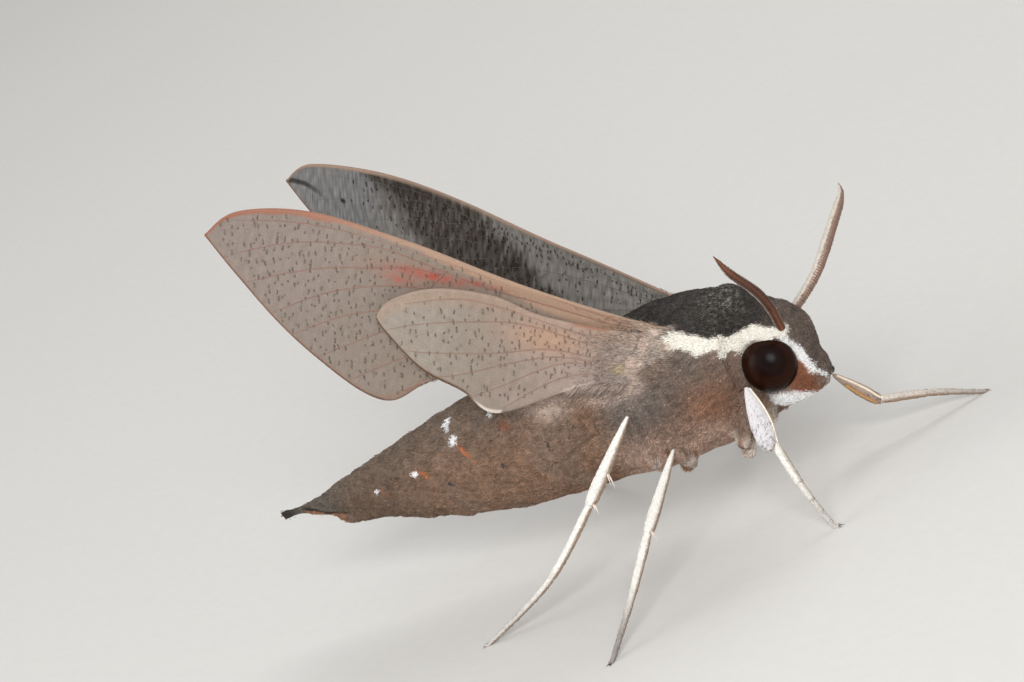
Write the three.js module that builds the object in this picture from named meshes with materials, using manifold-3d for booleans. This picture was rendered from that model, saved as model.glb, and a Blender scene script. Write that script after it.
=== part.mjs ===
// A hawk moth (Hippotion scrofa) at rest, wings raised over its back, life size.
// Millimetres. +X runs towards the head, +Y to the moth's left and +Z up; the feet stand on Z = 0.
// While it is built, X = 0 is at the hinges of the forewings.
import * as THREE from 'three';
import { LoftGeometry } from 'three/addons/geometries/LoftGeometry.js';
import { mergeVertices } from 'three/addons/utils/BufferGeometryUtils.js';
import Module from 'manifold-3d';

const wasm = await Module();
wasm.setup();

const point = (x, y, z) => new THREE.Vector3(x, y, z);

// ---- driving dimensions ----

const gap = 0.3; // clearance between neighbouring pieces
const weld = 1e-4; // vertices closer than this are one

// The thorax from the waist to the neck: height of its underside and back, and its half width.
const thoraxStations = [
  { x: -7.2, floor: 4.9, back: 15.9, half: 4.7 },
  { x: -3.5, floor: 5.0, back: 16.9, half: 5.1 },
  { x: 0.0, floor: 5.4, back: 17.4, half: 5.1 },
  { x: 2.6, floor: 6.1, back: 17.3, half: 4.7 },
  { x: 4.4, floor: 7.2, back: 16.7, half: 3.9 },
];

const trunkSides = 24;

const abdomen = {
  tail: point(-35.5, 0, 8.4),
  taper: 1.25, // the section shrinks as (1 - t^2)^taper from waist to tail
  tipScale: 0.07,
  sag: 0.35, // how far its middle line hangs below a straight one
};

const cranium = { centre: point(6.2, 0, 11.9), halfLength: 3.1, halfWidth: 2.9, halfHeight: 3.75 };
const snout = { tip: point(9.8, 0, 8.8), halfWidth: 1.9, halfDepth: 2.1 };
const eye = { centre: point(6.5, 1.9, 11.2), radius: 2.0, halfWidth: 1.55 };
const palp = {
  route: [point(5.8, 1.3, 9.3), point(7.6, 1.35, 8.8), point(9.7, 0.7, 8.8)],
  halfWidth: 0.95,
  halfDepth: 0.95,
};

const antenna = {
  root: point(8.2, 1.5, 13.4),
  halfWidth: 0.36,
  tipHalfWidth: 0.26,
  left: [point(10.1, 4.9, 16.0), point(11.7, 10.0, 18.6)],
  right: [point(8.0, 4.8, 17.6), point(9.1, 9.5, 22.1)],
};

// A wing's edges run from its hinge to its tip: the first number is the way along the wing, and
// the second is the way back from the straight line between hinge and tip. Each wing rises from
// the level of the body, spreads outwards behind and leans, by angles in degrees.
const wingHalfThickness = 0.28;
const wingBow = 0.15;
const forewing = {
  hinge: point(-0.4, 4.1, 16.1),
  front: [[0, -0.6], [9.8, -1.7], [17.6, -2.95], [24.5, -3.4], [30.0, -2.2], [32.1, 0]],
  rear: [[0, 0.9], [7.5, 3.9], [14.1, 7.0], [17.7, 9.6], [23.2, 7.4], [29.2, 2.8], [32.1, 0.1]],
  tuck: 0.5,
  steps: 26,
  left: { rise: 30, spread: 6.9, lean: 6.6, sink: 1.0 },
  right: { rise: 31, spread: 5.4, lean: 0, sink: 0 },
};
const hindwing = {
  hinge: point(-1.9, 5.4, 15.6),
  front: [[0, 0.3], [9.7, -2.84], [14.0, -2.8], [17.0, -1.4], [17.9, 0]],
  rear: [[0, 2.4], [3.2, 3.0], [8.6, 5.8], [11.3, 4.6], [14.3, 3.5], [17.0, 1.2], [17.9, 0.1]],
  tuck: 0.3,
  steps: 20,
  left: { rise: 26, spread: 6.9, lean: 6.6, sink: 1.0 },
  right: { rise: 27, spread: 5.4, lean: 0, sink: 0 },
};

// Where each leg's joints stand, on the moth's left. bend moves the middle of the tarsus aside.
const coxaHalfWidth = 0.9;
const femurHalfWidth = 0.65;
const tarsusHalfWidth = 0.3;
const soleLength = 0.8; // how much of each tarsus lies on the floor
const leftForeStance = {
  knee: point(7.3, 6.1, 6.4),
  ankle: point(9.2, 8.0, 3.0),
  foot: point(15.3, 12.3, 0),
  bend: point(0, 0, 0.25),
};
const rightForeStance = {
  knee: point(5.8, 5.5, 11.3),
  ankle: point(6.4, 6.0, 7.1),
  foot: point(8.75, 6.4, 0),
  bend: point(-0.3, 0, -0.3),
};
const midStance = {
  knee: point(-0.5, 6.8, 8.6),
  ankle: point(-2.0, 12.6, 5.3),
  foot: point(-4.3, 20.9, 0),
  bend: point(0, 0, -0.2),
};
const hindStance = {
  knee: point(-3.2, 5.9, 11.5),
  ankle: point(-7.0, 9.2, 7.0),
  foot: point(-16.8, 13.0, 0),
  bend: point(0.7, 0, -0.5),
};
const legs = {
  fore: {
    hip: point(3.6, 2.0, 7.6),
    trochanter: point(3.0, 3.4, 6.0),
    left: leftForeStance,
    right: rightForeStance,
    tibia: { halfWidth: 0.62, halfDepth: 0.4 },
  },
  mid: {
    hip: point(-1.0, 2.4, 7.2),
    trochanter: point(-0.9, 3.8, 6.0),
    left: midStance,
    right: midStance,
    tibia: { halfWidth: 0.4, halfDepth: 0.4 },
  },
  hind: {
    hip: point(-3.2, 2.6, 6.8),
    trochanter: point(-3.7, 4.0, 6.2),
    left: hindStance,
    right: hindStance,
    tibia: { halfWidth: 0.42, halfDepth: 0.42 },
  },
};

const brown = 0x6b5a50;
const greyBrown = 0x8a7a72;
const tan = 0xb09078;
const white = 0xe6e0d8;
const eyeBrown = 0x2c130c;
const scaleRoughness = 0.85;
const eyeRoughness = 0.15;

// ---- solids ----

function solidOf(geometry) {
  const bare = new THREE.BufferGeometry();
  bare.setAttribute('position', geometry.getAttribute('position'));
  bare.setIndex(geometry.index);
  const merged = mergeVertices(bare, weld);
  return new wasm.Manifold(new wasm.Mesh({
    numProp: 3,
    vertProperties: merged.getAttribute('position').array,
    triVerts: new Uint32Array(merged.index.array),
  }));
}

function geometryOf(solid) {
  const mesh = solid.getMesh();
  const geometry = new THREE.BufferGeometry();
  geometry.setAttribute('position', new THREE.BufferAttribute(mesh.vertProperties, 3));
  geometry.setIndex(new THREE.BufferAttribute(mesh.triVerts, 1));
  return geometry;
}

function ellipsoid(centre, halfLength, halfWidth, halfHeight, sides) {
  const ball = new THREE.SphereGeometry(1, sides, Math.round(sides / 2));
  ball.scale(halfLength, halfWidth, halfHeight);
  ball.translate(centre.x, centre.y, centre.z);
  return solidOf(ball);
}

// ---- lofted shapes ----

const up = point(0, 0, 1);
const across = point(0, 1, 0);
const forwards = point(1, 0, 0);

// An elliptical ring round a point; wide, high and the way the loft runs are right-handed.
function ring(centre, wide, high, halfWidth, halfHeight, sides) {
  const points = [];
  for (let side = 0; side < sides; side += 1) {
    const angle = (2 * Math.PI * side) / sides;
    points.push(centre.clone()
      .addScaledVector(wide, halfWidth * Math.cos(angle))
      .addScaledVector(high, halfHeight * Math.sin(angle)));
  }
  return points;
}

function loft(sections) {
  return solidOf(new LoftGeometry(sections, { capStart: true, capEnd: true }));
}

// A closed limb along a curve: girth(t) gives its half width, along `wide`, and its half depth.
function limb(path, girth, wide, sides, steps) {
  const sections = [];
  for (let step = 0; step <= steps; step += 1) {
    const t = 0.5 - 0.5 * Math.cos((Math.PI * step) / steps);
    const along = path.getTangentAt(t);
    const side = wide.clone().addScaledVector(along, -wide.dot(along)).normalize();
    const depth = new THREE.Vector3().crossVectors(along, side);
    const [halfWidth, halfDepth] = girth(t);
    sections.push(ring(path.getPointAt(t), side, depth, halfWidth, halfDepth, sides));
  }
  return loft(sections);
}

// How far a rounded end has opened: nearly shut at the ends, and 1 once `reach` of the way in.
function rounded(t, reach) {
  const inwards = Math.min(1, Math.min(t, 1 - t) / reach);
  return Math.max(0.3, Math.sqrt(1 - (1 - inwards) ** 2));
}

// ---- trunk ----

function thoraxShape(extra) {
  const column = (key) => new THREE.SplineCurve(
    thoraxStations.map((station) => new THREE.Vector2(station.x, station[key])),
  );
  const floor = column('floor');
  const back = column('back');
  const half = column('half');
  const steps = 12;
  const sections = [];
  for (let step = 0; step <= steps; step += 1) {
    const t = step / steps;
    const low = floor.getPoint(t);
    const high = back.getPoint(t).y;
    const centre = point(low.x, 0, (low.y + high) / 2);
    const halfHeight = (high - low.y) / 2 + extra;
    sections.push(ring(centre, across, up, half.getPoint(t).y + extra, halfHeight, trunkSides));
  }
  return loft(sections);
}

function abdomenShape(extra) {
  const waist = thoraxStations[0];
  const start = point(waist.x - gap, 0, (waist.floor + waist.back) / 2);
  const steps = 16;
  const sections = [];
  for (let step = steps; step >= 0; step -= 1) {
    const t = Math.sin((Math.PI * step) / (2 * steps));
    const shrink = Math.max(abdomen.tipScale, (1 - t * t) ** abdomen.taper);
    const centre = start.clone().lerp(abdomen.tail, t);
    centre.z -= abdomen.sag * Math.sin(Math.PI * t);
    const halfHeight = ((waist.back - waist.floor) / 2) * shrink + extra;
    sections.push(ring(centre, across, up, waist.half * shrink + extra, halfHeight, trunkSides));
  }
  return loft(sections);
}

function headShape(extra) {
  const { centre, halfLength, halfWidth, halfHeight } = cranium;
  const skull = ellipsoid(centre, halfLength + extra, halfWidth + extra, halfHeight + extra, 24);
  const girth = (t) => {
    const shrink = Math.sqrt(Math.max(0.02, 1 - t * t));
    return [snout.halfWidth * shrink + extra, snout.halfDepth * shrink + extra];
  };
  const muzzle = limb(new THREE.LineCurve3(centre, snout.tip), girth, across, 18, 7);
  return skull.add(muzzle);
}

// A block, wider than the moth, on one side of a plane that its centre is half its size from.
const blockSize = 100;

function block(x, y, z) {
  const box = new THREE.BoxGeometry(blockSize, blockSize, blockSize);
  box.translate(x, y, z);
  return solidOf(box);
}

const behindNeck = () => block(thoraxStations.at(-1).x + gap - blockSize / 2, 0, 0);
const farHalf = () => block(0, gap / 2 - blockSize / 2, 0);
const ground = () => block(0, 0, -blockSize / 2);

// ---- paired pieces, on the left ----

function eyeball(extra, sign) {
  const centre = point(eye.centre.x, sign * eye.centre.y, eye.centre.z);
  const radius = eye.radius + extra;
  return ellipsoid(centre, radius, eye.halfWidth + extra, radius, 20);
}

function palpShape() {
  const girth = (t) => [palp.halfWidth * rounded(t, 0.5), palp.halfDepth * rounded(t, 0.5)];
  return limb(new THREE.CatmullRomCurve3(palp.route), girth, across, 12, 8);
}

function antennaShape(side) {
  const { halfWidth, tipHalfWidth } = antenna;
  const taper = (t) => THREE.MathUtils.lerp(halfWidth, tipHalfWidth, t ** 3) * rounded(t, 0.03);
  const path = new THREE.CatmullRomCurve3([antenna.root, ...antenna[side]]);
  return limb(path, (t) => [taper(t), taper(t)], forwards, 8, 12);
}

// A thin plate between two edge curves, in its own plane, its root turned in towards the body.
function wingShape(wing, side) {
  const edge = (points) => new THREE.SplineCurve(points.map(([s, t]) => new THREE.Vector2(s, t)));
  const front = edge(wing.front);
  const rear = edge(wing.rear);
  const columns = 4;
  const rootReach = 0.2; // the share of the wing that turns in
  const sections = [];
  for (let step = 0; step <= wing.steps; step += 1) {
    const v = step / wing.steps;
    const lead = front.getPointAt(v);
    const trail = rear.getPointAt(v);
    const turn = wing.tuck * Math.max(0, 1 - v / rootReach) ** 2;
    const bow = wingBow * Math.sin(Math.PI * v);
    const outer = [];
    const inner = [];
    for (let column = 0; column <= columns; column += 1) {
      const u = column / columns;
      const spot = lead.clone().lerp(trail, u);
      const middle = 4 * bow * u * (1 - u) - turn;
      outer.push(point(-spot.x, middle + wingHalfThickness, -spot.y));
      inner.push(point(-spot.x, middle - wingHalfThickness, -spot.y));
    }
    sections.push([...outer, ...inner.reverse()]);
  }
  const geometry = new LoftGeometry(sections, { capStart: true, capEnd: true });
  const pose = wing[side];
  geometry.rotateX(THREE.MathUtils.degToRad(pose.lean));
  geometry.rotateY(THREE.MathUtils.degToRad(pose.rise));
  geometry.rotateZ(THREE.MathUtils.degToRad(-pose.spread));
  geometry.translate(wing.hinge.x, wing.hinge.y, wing.hinge.z - pose.sink);
  return solidOf(geometry);
}

// The pieces of one leg, each of which ends short of its joints and is cut clear of the last.
function legPieces(leg, side) {
  const { knee, ankle, foot, bend } = leg[side];
  const segment = (from, to, halfWidth, halfDepth, extra) => {
    const trim = to.clone().sub(from).setLength(gap / 2);
    const path = new THREE.LineCurve3(from.clone().add(trim), to.clone().sub(trim));
    const round = halfWidth / from.distanceTo(to);
    const girth = (t) => [
      halfWidth * rounded(t, round) + extra,
      halfDepth * rounded(t, round) + extra,
    ];
    return limb(path, girth, forwards, 8, 5);
  };
  const coxa = (extra) => segment(leg.hip, leg.trochanter, coxaHalfWidth, coxaHalfWidth, extra);
  const femur = (extra) => segment(leg.trochanter, knee, femurHalfWidth, femurHalfWidth, extra);
  const tibia = segment(knee, ankle, leg.tibia.halfWidth, leg.tibia.halfDepth, 0);

  // The tarsus comes down in a shallow curve, and its last joints lie flat along the floor.
  const down = foot.clone().sub(ankle);
  const start = ankle.clone().add(down.clone().setLength(gap / 2));
  const middle = ankle.clone().lerp(foot, 0.5).add(bend);
  const tip = foot.clone().setZ(tarsusHalfWidth * 0.6);
  const heel = tip.clone().sub(down.clone().setZ(0).setLength(soleLength));
  const taper = (t) => THREE.MathUtils.lerp(1.2, 0.95, t) * tarsusHalfWidth * rounded(t, 0.03);
  const tarsusPath = new THREE.CatmullRomCurve3([start, middle, heel, tip]);
  return {
    coxa: coxa(0).subtract(thoraxRoom),
    femur: femur(0).subtract(coxa(gap)).subtract(thoraxRoom),
    tibia: tibia.subtract(femur(gap)),
    tarsus: limb(tarsusPath, (t) => [taper(t), taper(t)], up, 8, 9).subtract(ground()),
  };
}

// ---- the moth ----

const moth = new THREE.Group();
const sides = ['left', 'right'];

// Paired pieces are shaped on the left, and the right one is the same shape mirrored.
function addNode(name, solid, color, roughness, side = 'left') {
  const material = new THREE.MeshStandardMaterial({ color, roughness, metalness: 0 });
  const mesh = new THREE.Mesh(geometryOf(solid), material);
  mesh.name = name;
  if (side === 'right') mesh.scale.y = -1;
  moth.add(mesh);
}

const thoraxRoom = thoraxShape(gap);
const abdomenRoom = abdomenShape(gap);
const headRoom = headShape(gap);

function addTrunk() {
  const thorax = thoraxShape(0).subtract(eyeball(gap, 1)).subtract(eyeball(gap, -1));
  addNode('thorax', thorax, brown, scaleRoughness);
  addNode('abdomen', abdomenShape(0), brown, scaleRoughness);
  const head = headShape(0)
    .subtract(behindNeck())
    .subtract(eyeball(gap, 1))
    .subtract(eyeball(gap, -1));
  addNode('head', head, brown, scaleRoughness);
}

function addFace(side) {
  addNode(`eye_${side}`, eyeball(0, 1), eyeBrown, eyeRoughness, side);
  const lobe = palpShape().subtract(headRoom).subtract(farHalf()).subtract(eyeball(gap, 1));
  addNode(`palp_${side}`, lobe, brown, scaleRoughness, side);
  addNode(`antenna_${side}`, antennaShape(side).subtract(headRoom), tan, scaleRoughness, side);
}

function addWings(side) {
  const fore = wingShape(forewing, side).subtract(thoraxRoom);
  addNode(`forewing_${side}`, fore, greyBrown, scaleRoughness, side);
  const hind = wingShape(hindwing, side).subtract(thoraxRoom).subtract(abdomenRoom);
  addNode(`hindwing_${side}`, hind, greyBrown, scaleRoughness, side);
}

function addLeg(pair, side) {
  const pieces = legPieces(legs[pair], side);
  for (const [piece, solid] of Object.entries(pieces)) {
    addNode(`leg_${pair}_${side}_${piece}`, solid, white, scaleRoughness, side);
  }
}

addTrunk();
for (const side of sides) {
  addFace(side);
  addWings(side);
  for (const pair of Object.keys(legs)) addLeg(pair, side);
}

// The origin is the middle of the moth's outline on the floor.
const bounds = new THREE.Box3().setFromObject(moth);
const middle = bounds.getCenter(new THREE.Vector3());
moth.position.set(-middle.x, -middle.y, -bounds.min.z);

export default moth;
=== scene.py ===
"""A hawk moth at rest with its wings raised, made as a life-size museum model.

Shapes are worked out in millimetres in the moth's own frame, where X = 0 is at the
hinges of the forewings, +X runs towards the head, +Y to the moth's left and +Z up.
"""
import math

import bmesh
import bpy
import numpy as np
from mathutils import Matrix, Vector


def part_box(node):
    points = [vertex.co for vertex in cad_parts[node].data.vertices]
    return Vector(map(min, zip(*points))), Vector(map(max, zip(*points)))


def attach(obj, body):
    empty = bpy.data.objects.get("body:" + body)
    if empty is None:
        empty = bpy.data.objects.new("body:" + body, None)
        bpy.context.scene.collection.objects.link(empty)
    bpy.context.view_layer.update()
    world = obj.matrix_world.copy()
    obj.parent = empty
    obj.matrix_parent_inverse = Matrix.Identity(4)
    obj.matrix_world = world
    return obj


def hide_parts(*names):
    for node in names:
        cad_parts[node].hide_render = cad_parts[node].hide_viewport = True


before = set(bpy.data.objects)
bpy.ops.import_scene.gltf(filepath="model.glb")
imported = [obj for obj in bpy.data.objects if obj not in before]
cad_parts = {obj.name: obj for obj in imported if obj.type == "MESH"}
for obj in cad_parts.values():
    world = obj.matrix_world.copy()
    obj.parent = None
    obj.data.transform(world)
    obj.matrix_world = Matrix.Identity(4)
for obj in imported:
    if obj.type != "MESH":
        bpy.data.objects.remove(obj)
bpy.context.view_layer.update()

MM = 0.001
SIDES = {"left": 1.0, "right": -1.0}

EYE_CENTRE = np.array([6.5, 1.9, 11.2])
EYE_RADII = np.array([2.0, 1.55, 2.0])
ANTENNA_ROOT = np.array([8.2, 1.5, 13.4])
EYE_LOW, EYE_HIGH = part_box("eye_left")
SHIFT = np.array([(EYE_LOW.x + EYE_HIGH.x) / 2 / MM - EYE_CENTRE[0], 0.0, 0.0])


# ---- camera ----

CAMERA_AZIMUTH, CAMERA_TILT, CAMERA_ROLL = (math.radians(a) for a in (26.9, 16.5, 23.1))
CAMERA_AIM = np.array([-12.2, 0.0, 17.09])
CAMERA_DISTANCE = 300.0
CAMERA_LENS = 147.66


def new_object(name, data):
    made = bpy.data.objects.new(name, data)
    bpy.context.scene.collection.objects.link(made)
    return made


def place_camera():
    a, e, r = CAMERA_AZIMUTH, CAMERA_TILT, CAMERA_ROLL
    level = Vector((math.cos(a), math.sin(a), 0))
    rise = Vector((-math.sin(e) * math.sin(a), math.sin(e) * math.cos(a), math.cos(e)))
    back = Vector((math.sin(a) * math.cos(e), -math.cos(a) * math.cos(e), math.sin(e)))
    right = level * math.cos(r) - rise * math.sin(r)
    up = level * math.sin(r) + rise * math.cos(r)
    place = Matrix((right, up, back)).transposed().to_4x4()
    place.translation = (Vector(CAMERA_AIM + SHIFT) + back * CAMERA_DISTANCE) * MM
    data = bpy.data.cameras.new("camera")
    data.lens = CAMERA_LENS
    data.sensor_width = 36
    data.clip_start = 0.01
    data.clip_end = 10
    camera = new_object("camera", data)
    camera.matrix_world = place
    bpy.context.scene.camera = camera


place_camera()


# ---- colours ----

def linear(code):
    """The linear colour of an sRGB hex code."""
    parts = np.array([int(code[k:k + 2], 16) / 255 for k in (0, 2, 4)])
    return np.where(parts <= 0.04045, parts / 12.92, ((parts + 0.055) / 1.055) ** 2.4)


BACK_BROWN = linear("37332f")
BACK_FLECK = linear("716e67")
CREST_FLECK = linear("928d84")
FLANK_GREY = linear("7f736a")
FLANK_BROWN = linear("926c56")
CHEST_PINK = linear("bea18f")
LOIN_BROWN = linear("8b6d58")
LOIN_REAR = linear("6f5a4a")
LOIN_TOP = linear("77675a")
TAIL_GREY = linear("655c52")
TAIL_TIP = linear("271b14")
STRIPE_WHITE = linear("fff8ec")
ROOT_PINK = linear("d5bfb0")
ROOT_GREY = linear("b0a195")
CHEEK_WHITE = linear("fdfbfa")
CHEEK_RED = linear("8a5539")
EYE_SHADE = linear("3f2a20")
BROW_GREY = linear("685b52")
SILVER = linear("fbfafc")
RUST = linear("b96c40")
SPOT_DARK = linear("3a3434")
LOBE_UPPER = (linear("d6c6b8"), linear("96633f"))
LOBE_LOWER = (linear("dccdc2"), linear("9c7a63"))
HIP_BROWN = linear("a07355")
HIP_PALE = linear("cdbcb0")
LENS_RIM = linear("4c2c25")
FAINT_RUST = linear("8f5f48")
LIP_BROWN = linear("a2714f")


def ease(low, high, value):
    """0 below low and 1 above high, turning smoothly between them."""
    t = np.clip((value - low) / (high - low), 0, 1)
    return t * t * (3 - 2 * t)


def mix(under, over, share):
    return under + (over - under) * np.clip(share, 0, 1)[..., None]


def all_over(tint, like):
    """One colour, once for each thing it covers."""
    return np.tile(tint, (len(like), 1))


def blot(s, t, middle, reach):
    """A soft patch, 1 in its middle, that fades out over its reach both ways."""
    return np.exp(-((s - middle[0]) / reach[0]) ** 2 - ((t - middle[1]) / reach[1]) ** 2)


def mottle(at, size, seed):
    """A soft random field, mostly from -1 to 1, with patches about `size` across."""
    random = np.random.default_rng(seed)
    total = np.zeros(len(at))
    for _ in range(9):
        way = random.normal(size=at.shape[1])
        way *= math.pi / size * random.uniform(0.6, 1.5) / np.linalg.norm(way)
        total += np.sin(at @ way + random.uniform(0, 2 * math.pi))
    return total / 2.2


# ---- shapes ----

def unit(arrows):
    return arrows / np.maximum(np.linalg.norm(arrows, axis=-1, keepdims=True), 1e-9)


def vectors(*parts):
    """Vectors from three parts, each a number or one value for every point."""
    return np.stack(np.broadcast_arrays(*parts), 1).astype(float)


def mirrored(point, sign):
    return np.array(point, float) * [1, sign, 1]


def mirrored_like(point, y):
    """The point, on the same side of the moth as each value of y."""
    return np.array(point) * vectors(1, np.sign(y), 1)


def from_middle(at, centre, radii):
    """How far points lie from the middle of a lobe on their side; 1 is its surface."""
    return np.linalg.norm((at - mirrored_like(centre, at[:, 1])) / radii, axis=1)


def turned(a, b):
    """The turn from b towards a, as a share of the full round."""
    return np.arctan2(a, b) / (2 * math.pi) + 0.5


def through(points, count):
    """A smooth line through a few points, as evenly spaced points."""
    knots = np.array(points, float)
    held = np.vstack([knots[:1], knots, knots[-1:]])
    t = np.linspace(0, 1, 40, endpoint=False)[:, None]
    fine = []
    for k in range(len(knots) - 1):
        a, b, c, d = held[k:k + 4]
        bend = (2 * a - 5 * b + 4 * c - d) * t ** 2 + (3 * b - a - 3 * c + d) * t ** 3
        fine.append(b + ((c - a) * t + bend) / 2)
    fine = np.vstack(fine + [knots[-1:]])
    run = np.r_[0, np.cumsum(np.linalg.norm(np.diff(fine, axis=0), axis=1))]
    even = np.linspace(0, run[-1], count)
    return np.stack([np.interp(even, run, column) for column in fine.T], 1)


def grid(rows, columns, closed=False):
    """Triangles between rows of points; closed joins each row's last point to its first."""
    row = np.arange(rows - 1)[:, None]
    column = np.arange(columns if closed else columns - 1)[None, :]
    a = row * columns + column
    b = row * columns + (column + 1) % columns
    near = np.stack([a, b, b + columns], -1).reshape(-1, 3)
    far = np.stack([a, b + columns, a + columns], -1).reshape(-1, 3)
    return np.concatenate([near, far])


def shape(points, triangles, **fields):
    return {"points": points, "triangles": triangles, "fields": fields}


def dyed(made, tint):
    """The shape in one colour all over."""
    made["fields"] = {"tint": all_over(tint, made["points"])}
    return made


def together(shapes):
    """Several shapes with the same fields as one."""
    starts = np.cumsum([0] + [len(s["points"]) for s in shapes[:-1]])
    return {
        "points": np.concatenate([s["points"] for s in shapes]),
        "triangles": np.concatenate([s["triangles"] + n for s, n in zip(shapes, starts)]),
        "fields": {
            key: np.concatenate([s["fields"][key] for s in shapes])
            for key in shapes[0]["fields"]
        },
    }


def tube(path, half_width, half_depth, across, sides=12):
    """A closed limb along a path; its rings are ellipses, wide along `across`."""
    count = len(path)
    along = unit(np.gradient(path, axis=0))
    across = np.broadcast_to(np.array(across, float), path.shape)
    wide = unit(across - along * (across * along).sum(1, keepdims=True))
    deep = np.cross(along, wide)
    turn = np.linspace(0, 2 * math.pi, sides, endpoint=False)
    half_width = np.broadcast_to(half_width, count)[:, None, None]
    half_depth = np.broadcast_to(half_depth, count)[:, None, None]
    ring = wide[:, None] * np.cos(turn)[None, :, None] * half_width
    ring = ring + deep[:, None] * np.sin(turn)[None, :, None] * half_depth
    points = np.vstack([(path[:, None] + ring).reshape(-1, 3), path[:1], path[-1:]])
    k = np.arange(sides)
    after = (k + 1) % sides
    last = (count - 1) * sides
    start_cap = np.stack([np.full(sides, count * sides), after, k], 1)
    end_cap = np.stack([np.full(sides, count * sides + 1), last + k, last + after], 1)
    triangles = np.concatenate([grid(count, sides, closed=True), start_cap, end_cap])
    share = np.linspace(0, 1, count)
    return shape(
        points,
        triangles,
        along=np.r_[np.repeat(share, sides), 0, 1],
        way=np.vstack([np.repeat(along, sides, axis=0), along[:1], along[-1:]]),
    )


def normals_of(points, triangles):
    a, b, c = (points[triangles[:, k]] for k in range(3))
    face = np.cross(b - a, c - a)
    total = np.stack([
        sum(np.bincount(triangles[:, k], face[:, axis], len(points)) for k in range(3))
        for axis in range(3)
    ], 1)
    return unit(total)


def add_piece(name, made, materials, stands_for=(), finish=None, patch=None):
    """Turn a shape into a piece of the model that rides on its one body.

    made["fields"] become attributes, finish picks each triangle's material and patch is the
    OFBake map, a pair for each point.
    """
    points = (made["points"] + SHIFT) * MM
    triangles = made["triangles"]
    mesh = bpy.data.meshes.new(name)
    mesh.vertices.add(len(points))
    mesh.vertices.foreach_set("co", points.astype(np.float32).ravel())
    mesh.loops.add(triangles.size)
    mesh.loops.foreach_set("vertex_index", triangles.astype(np.int32).ravel())
    mesh.polygons.add(len(triangles))
    mesh.polygons.foreach_set("loop_start", np.arange(0, triangles.size, 3, dtype=np.int32))
    mesh.polygons.foreach_set("use_smooth", np.ones(len(triangles), bool))
    if finish is not None:
        mesh.polygons.foreach_set("material_index", finish.astype(np.int32))
    for key, values in made["fields"].items():
        if values.ndim == 1:
            layer = mesh.attributes.new(key, "FLOAT", "POINT")
            layer.data.foreach_set("value", values.astype(np.float32))
        else:
            layer = mesh.attributes.new(key, "FLOAT_COLOR", "POINT")
            colour = np.column_stack([values, np.ones(len(values))])
            layer.data.foreach_set("color", colour.astype(np.float32).ravel())
    if patch is not None:
        bake = mesh.uv_layers.new(name="OFBake")
        bake.data.foreach_set("uv", patch[triangles.ravel()].astype(np.float32).ravel())
    mesh.update()
    mesh.validate()
    for material in materials:
        mesh.materials.append(material)
    piece = new_object(name, mesh)
    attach(piece, "root")
    if stands_for:
        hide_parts(*stands_for)
    return piece


# ---- finishes ----

def add_node(tree, kind, inputs=(), **settings):
    """Add a node; `inputs` pairs each socket with a value or with the socket that feeds it."""
    made = tree.nodes.new(kind)
    for key, value in settings.items():
        setattr(made, key, value)
    for key, value in dict(inputs).items():
        if isinstance(value, bpy.types.NodeSocket):
            tree.links.new(value, made.inputs[key])
        else:
            made.inputs[key].default_value = value
    return made


def new_finish(name, **sockets):
    """An empty material with one shader, and that shader's own constant values."""
    material = bpy.data.materials.new(name)
    material.use_nodes = True
    tree = material.node_tree
    tree.nodes.clear()
    shader = add_node(tree, "ShaderNodeBsdfPrincipled", {
        key.replace("_", " "): value for key, value in sockets.items()
    })
    add_node(tree, "ShaderNodeOutputMaterial", {"Surface": shader.outputs["BSDF"]})
    return material, tree, shader


def tinted_finish(name, grain_mm, grain_depth, lightest=1.12, darkest=0.84, **sockets):
    """A finish that takes its markings from the piece's tint, broken up by fine grain."""
    material, tree, shader = new_finish(name, **sockets)
    tint = add_node(tree, "ShaderNodeAttribute", attribute_name="tint")
    place = add_node(tree, "ShaderNodeTexCoord")
    grain = add_node(tree, "ShaderNodeTexNoise", {
        "Vector": place.outputs["Object"],
        "Scale": 1 / (grain_mm * MM),
        "Detail": 3.0,
        "Roughness": 0.6,
    })
    spread = add_node(tree, "ShaderNodeMapRange", {
        "Value": grain.outputs["Fac"],
        "From Min": 0.3,
        "From Max": 0.7,
        "To Min": darkest,
        "To Max": lightest,
    })
    shade = add_node(tree, "ShaderNodeVectorMath", {
        0: tint.outputs["Color"],
        "Scale": spread.outputs["Result"],
    }, operation="SCALE")
    tree.links.new(shade.outputs["Vector"], shader.inputs["Base Color"])
    relief = add_node(tree, "ShaderNodeBump", {
        "Height": grain.outputs["Fac"],
        "Distance": grain_depth * MM,
        "Strength": 1.0,
    })
    tree.links.new(relief.outputs["Normal"], shader.inputs["Normal"])
    return material, tree, shader


def hair_scale_finish():
    # Hair-scales: dry, hollow, ridged chitin blades, so the coat is soft and matt. Their
    # ridges, about 0.002 mm apart, are drawn as grain 0.12 mm across so that they show.
    return tinted_finish(
        "hair_scales", 0.12, 0.01, Roughness=0.75, IOR=1.56, Specular_IOR_Level=0.15,
    )[0]


def undercoat_finish():
    # Skin under the coat: tough chitin felted with down, so it is matt and shows only in
    # gaps. The down's hairs, about 0.02 mm thick, are drawn as grain 0.16 mm across.
    return tinted_finish("downy_skin", 0.16, 0.03, Roughness=0.85, IOR=1.56)[0]


def wing_finish(name):
    # Wing membrane shingled with flat scales 0.1 mm wide: matt, with a fine powdery grain.
    return tinted_finish(
        name, 0.1, 0.008, lightest=1.13, darkest=0.86,
        Roughness=0.62, IOR=1.56, Specular_IOR_Level=0.2,
    )[0]


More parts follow.
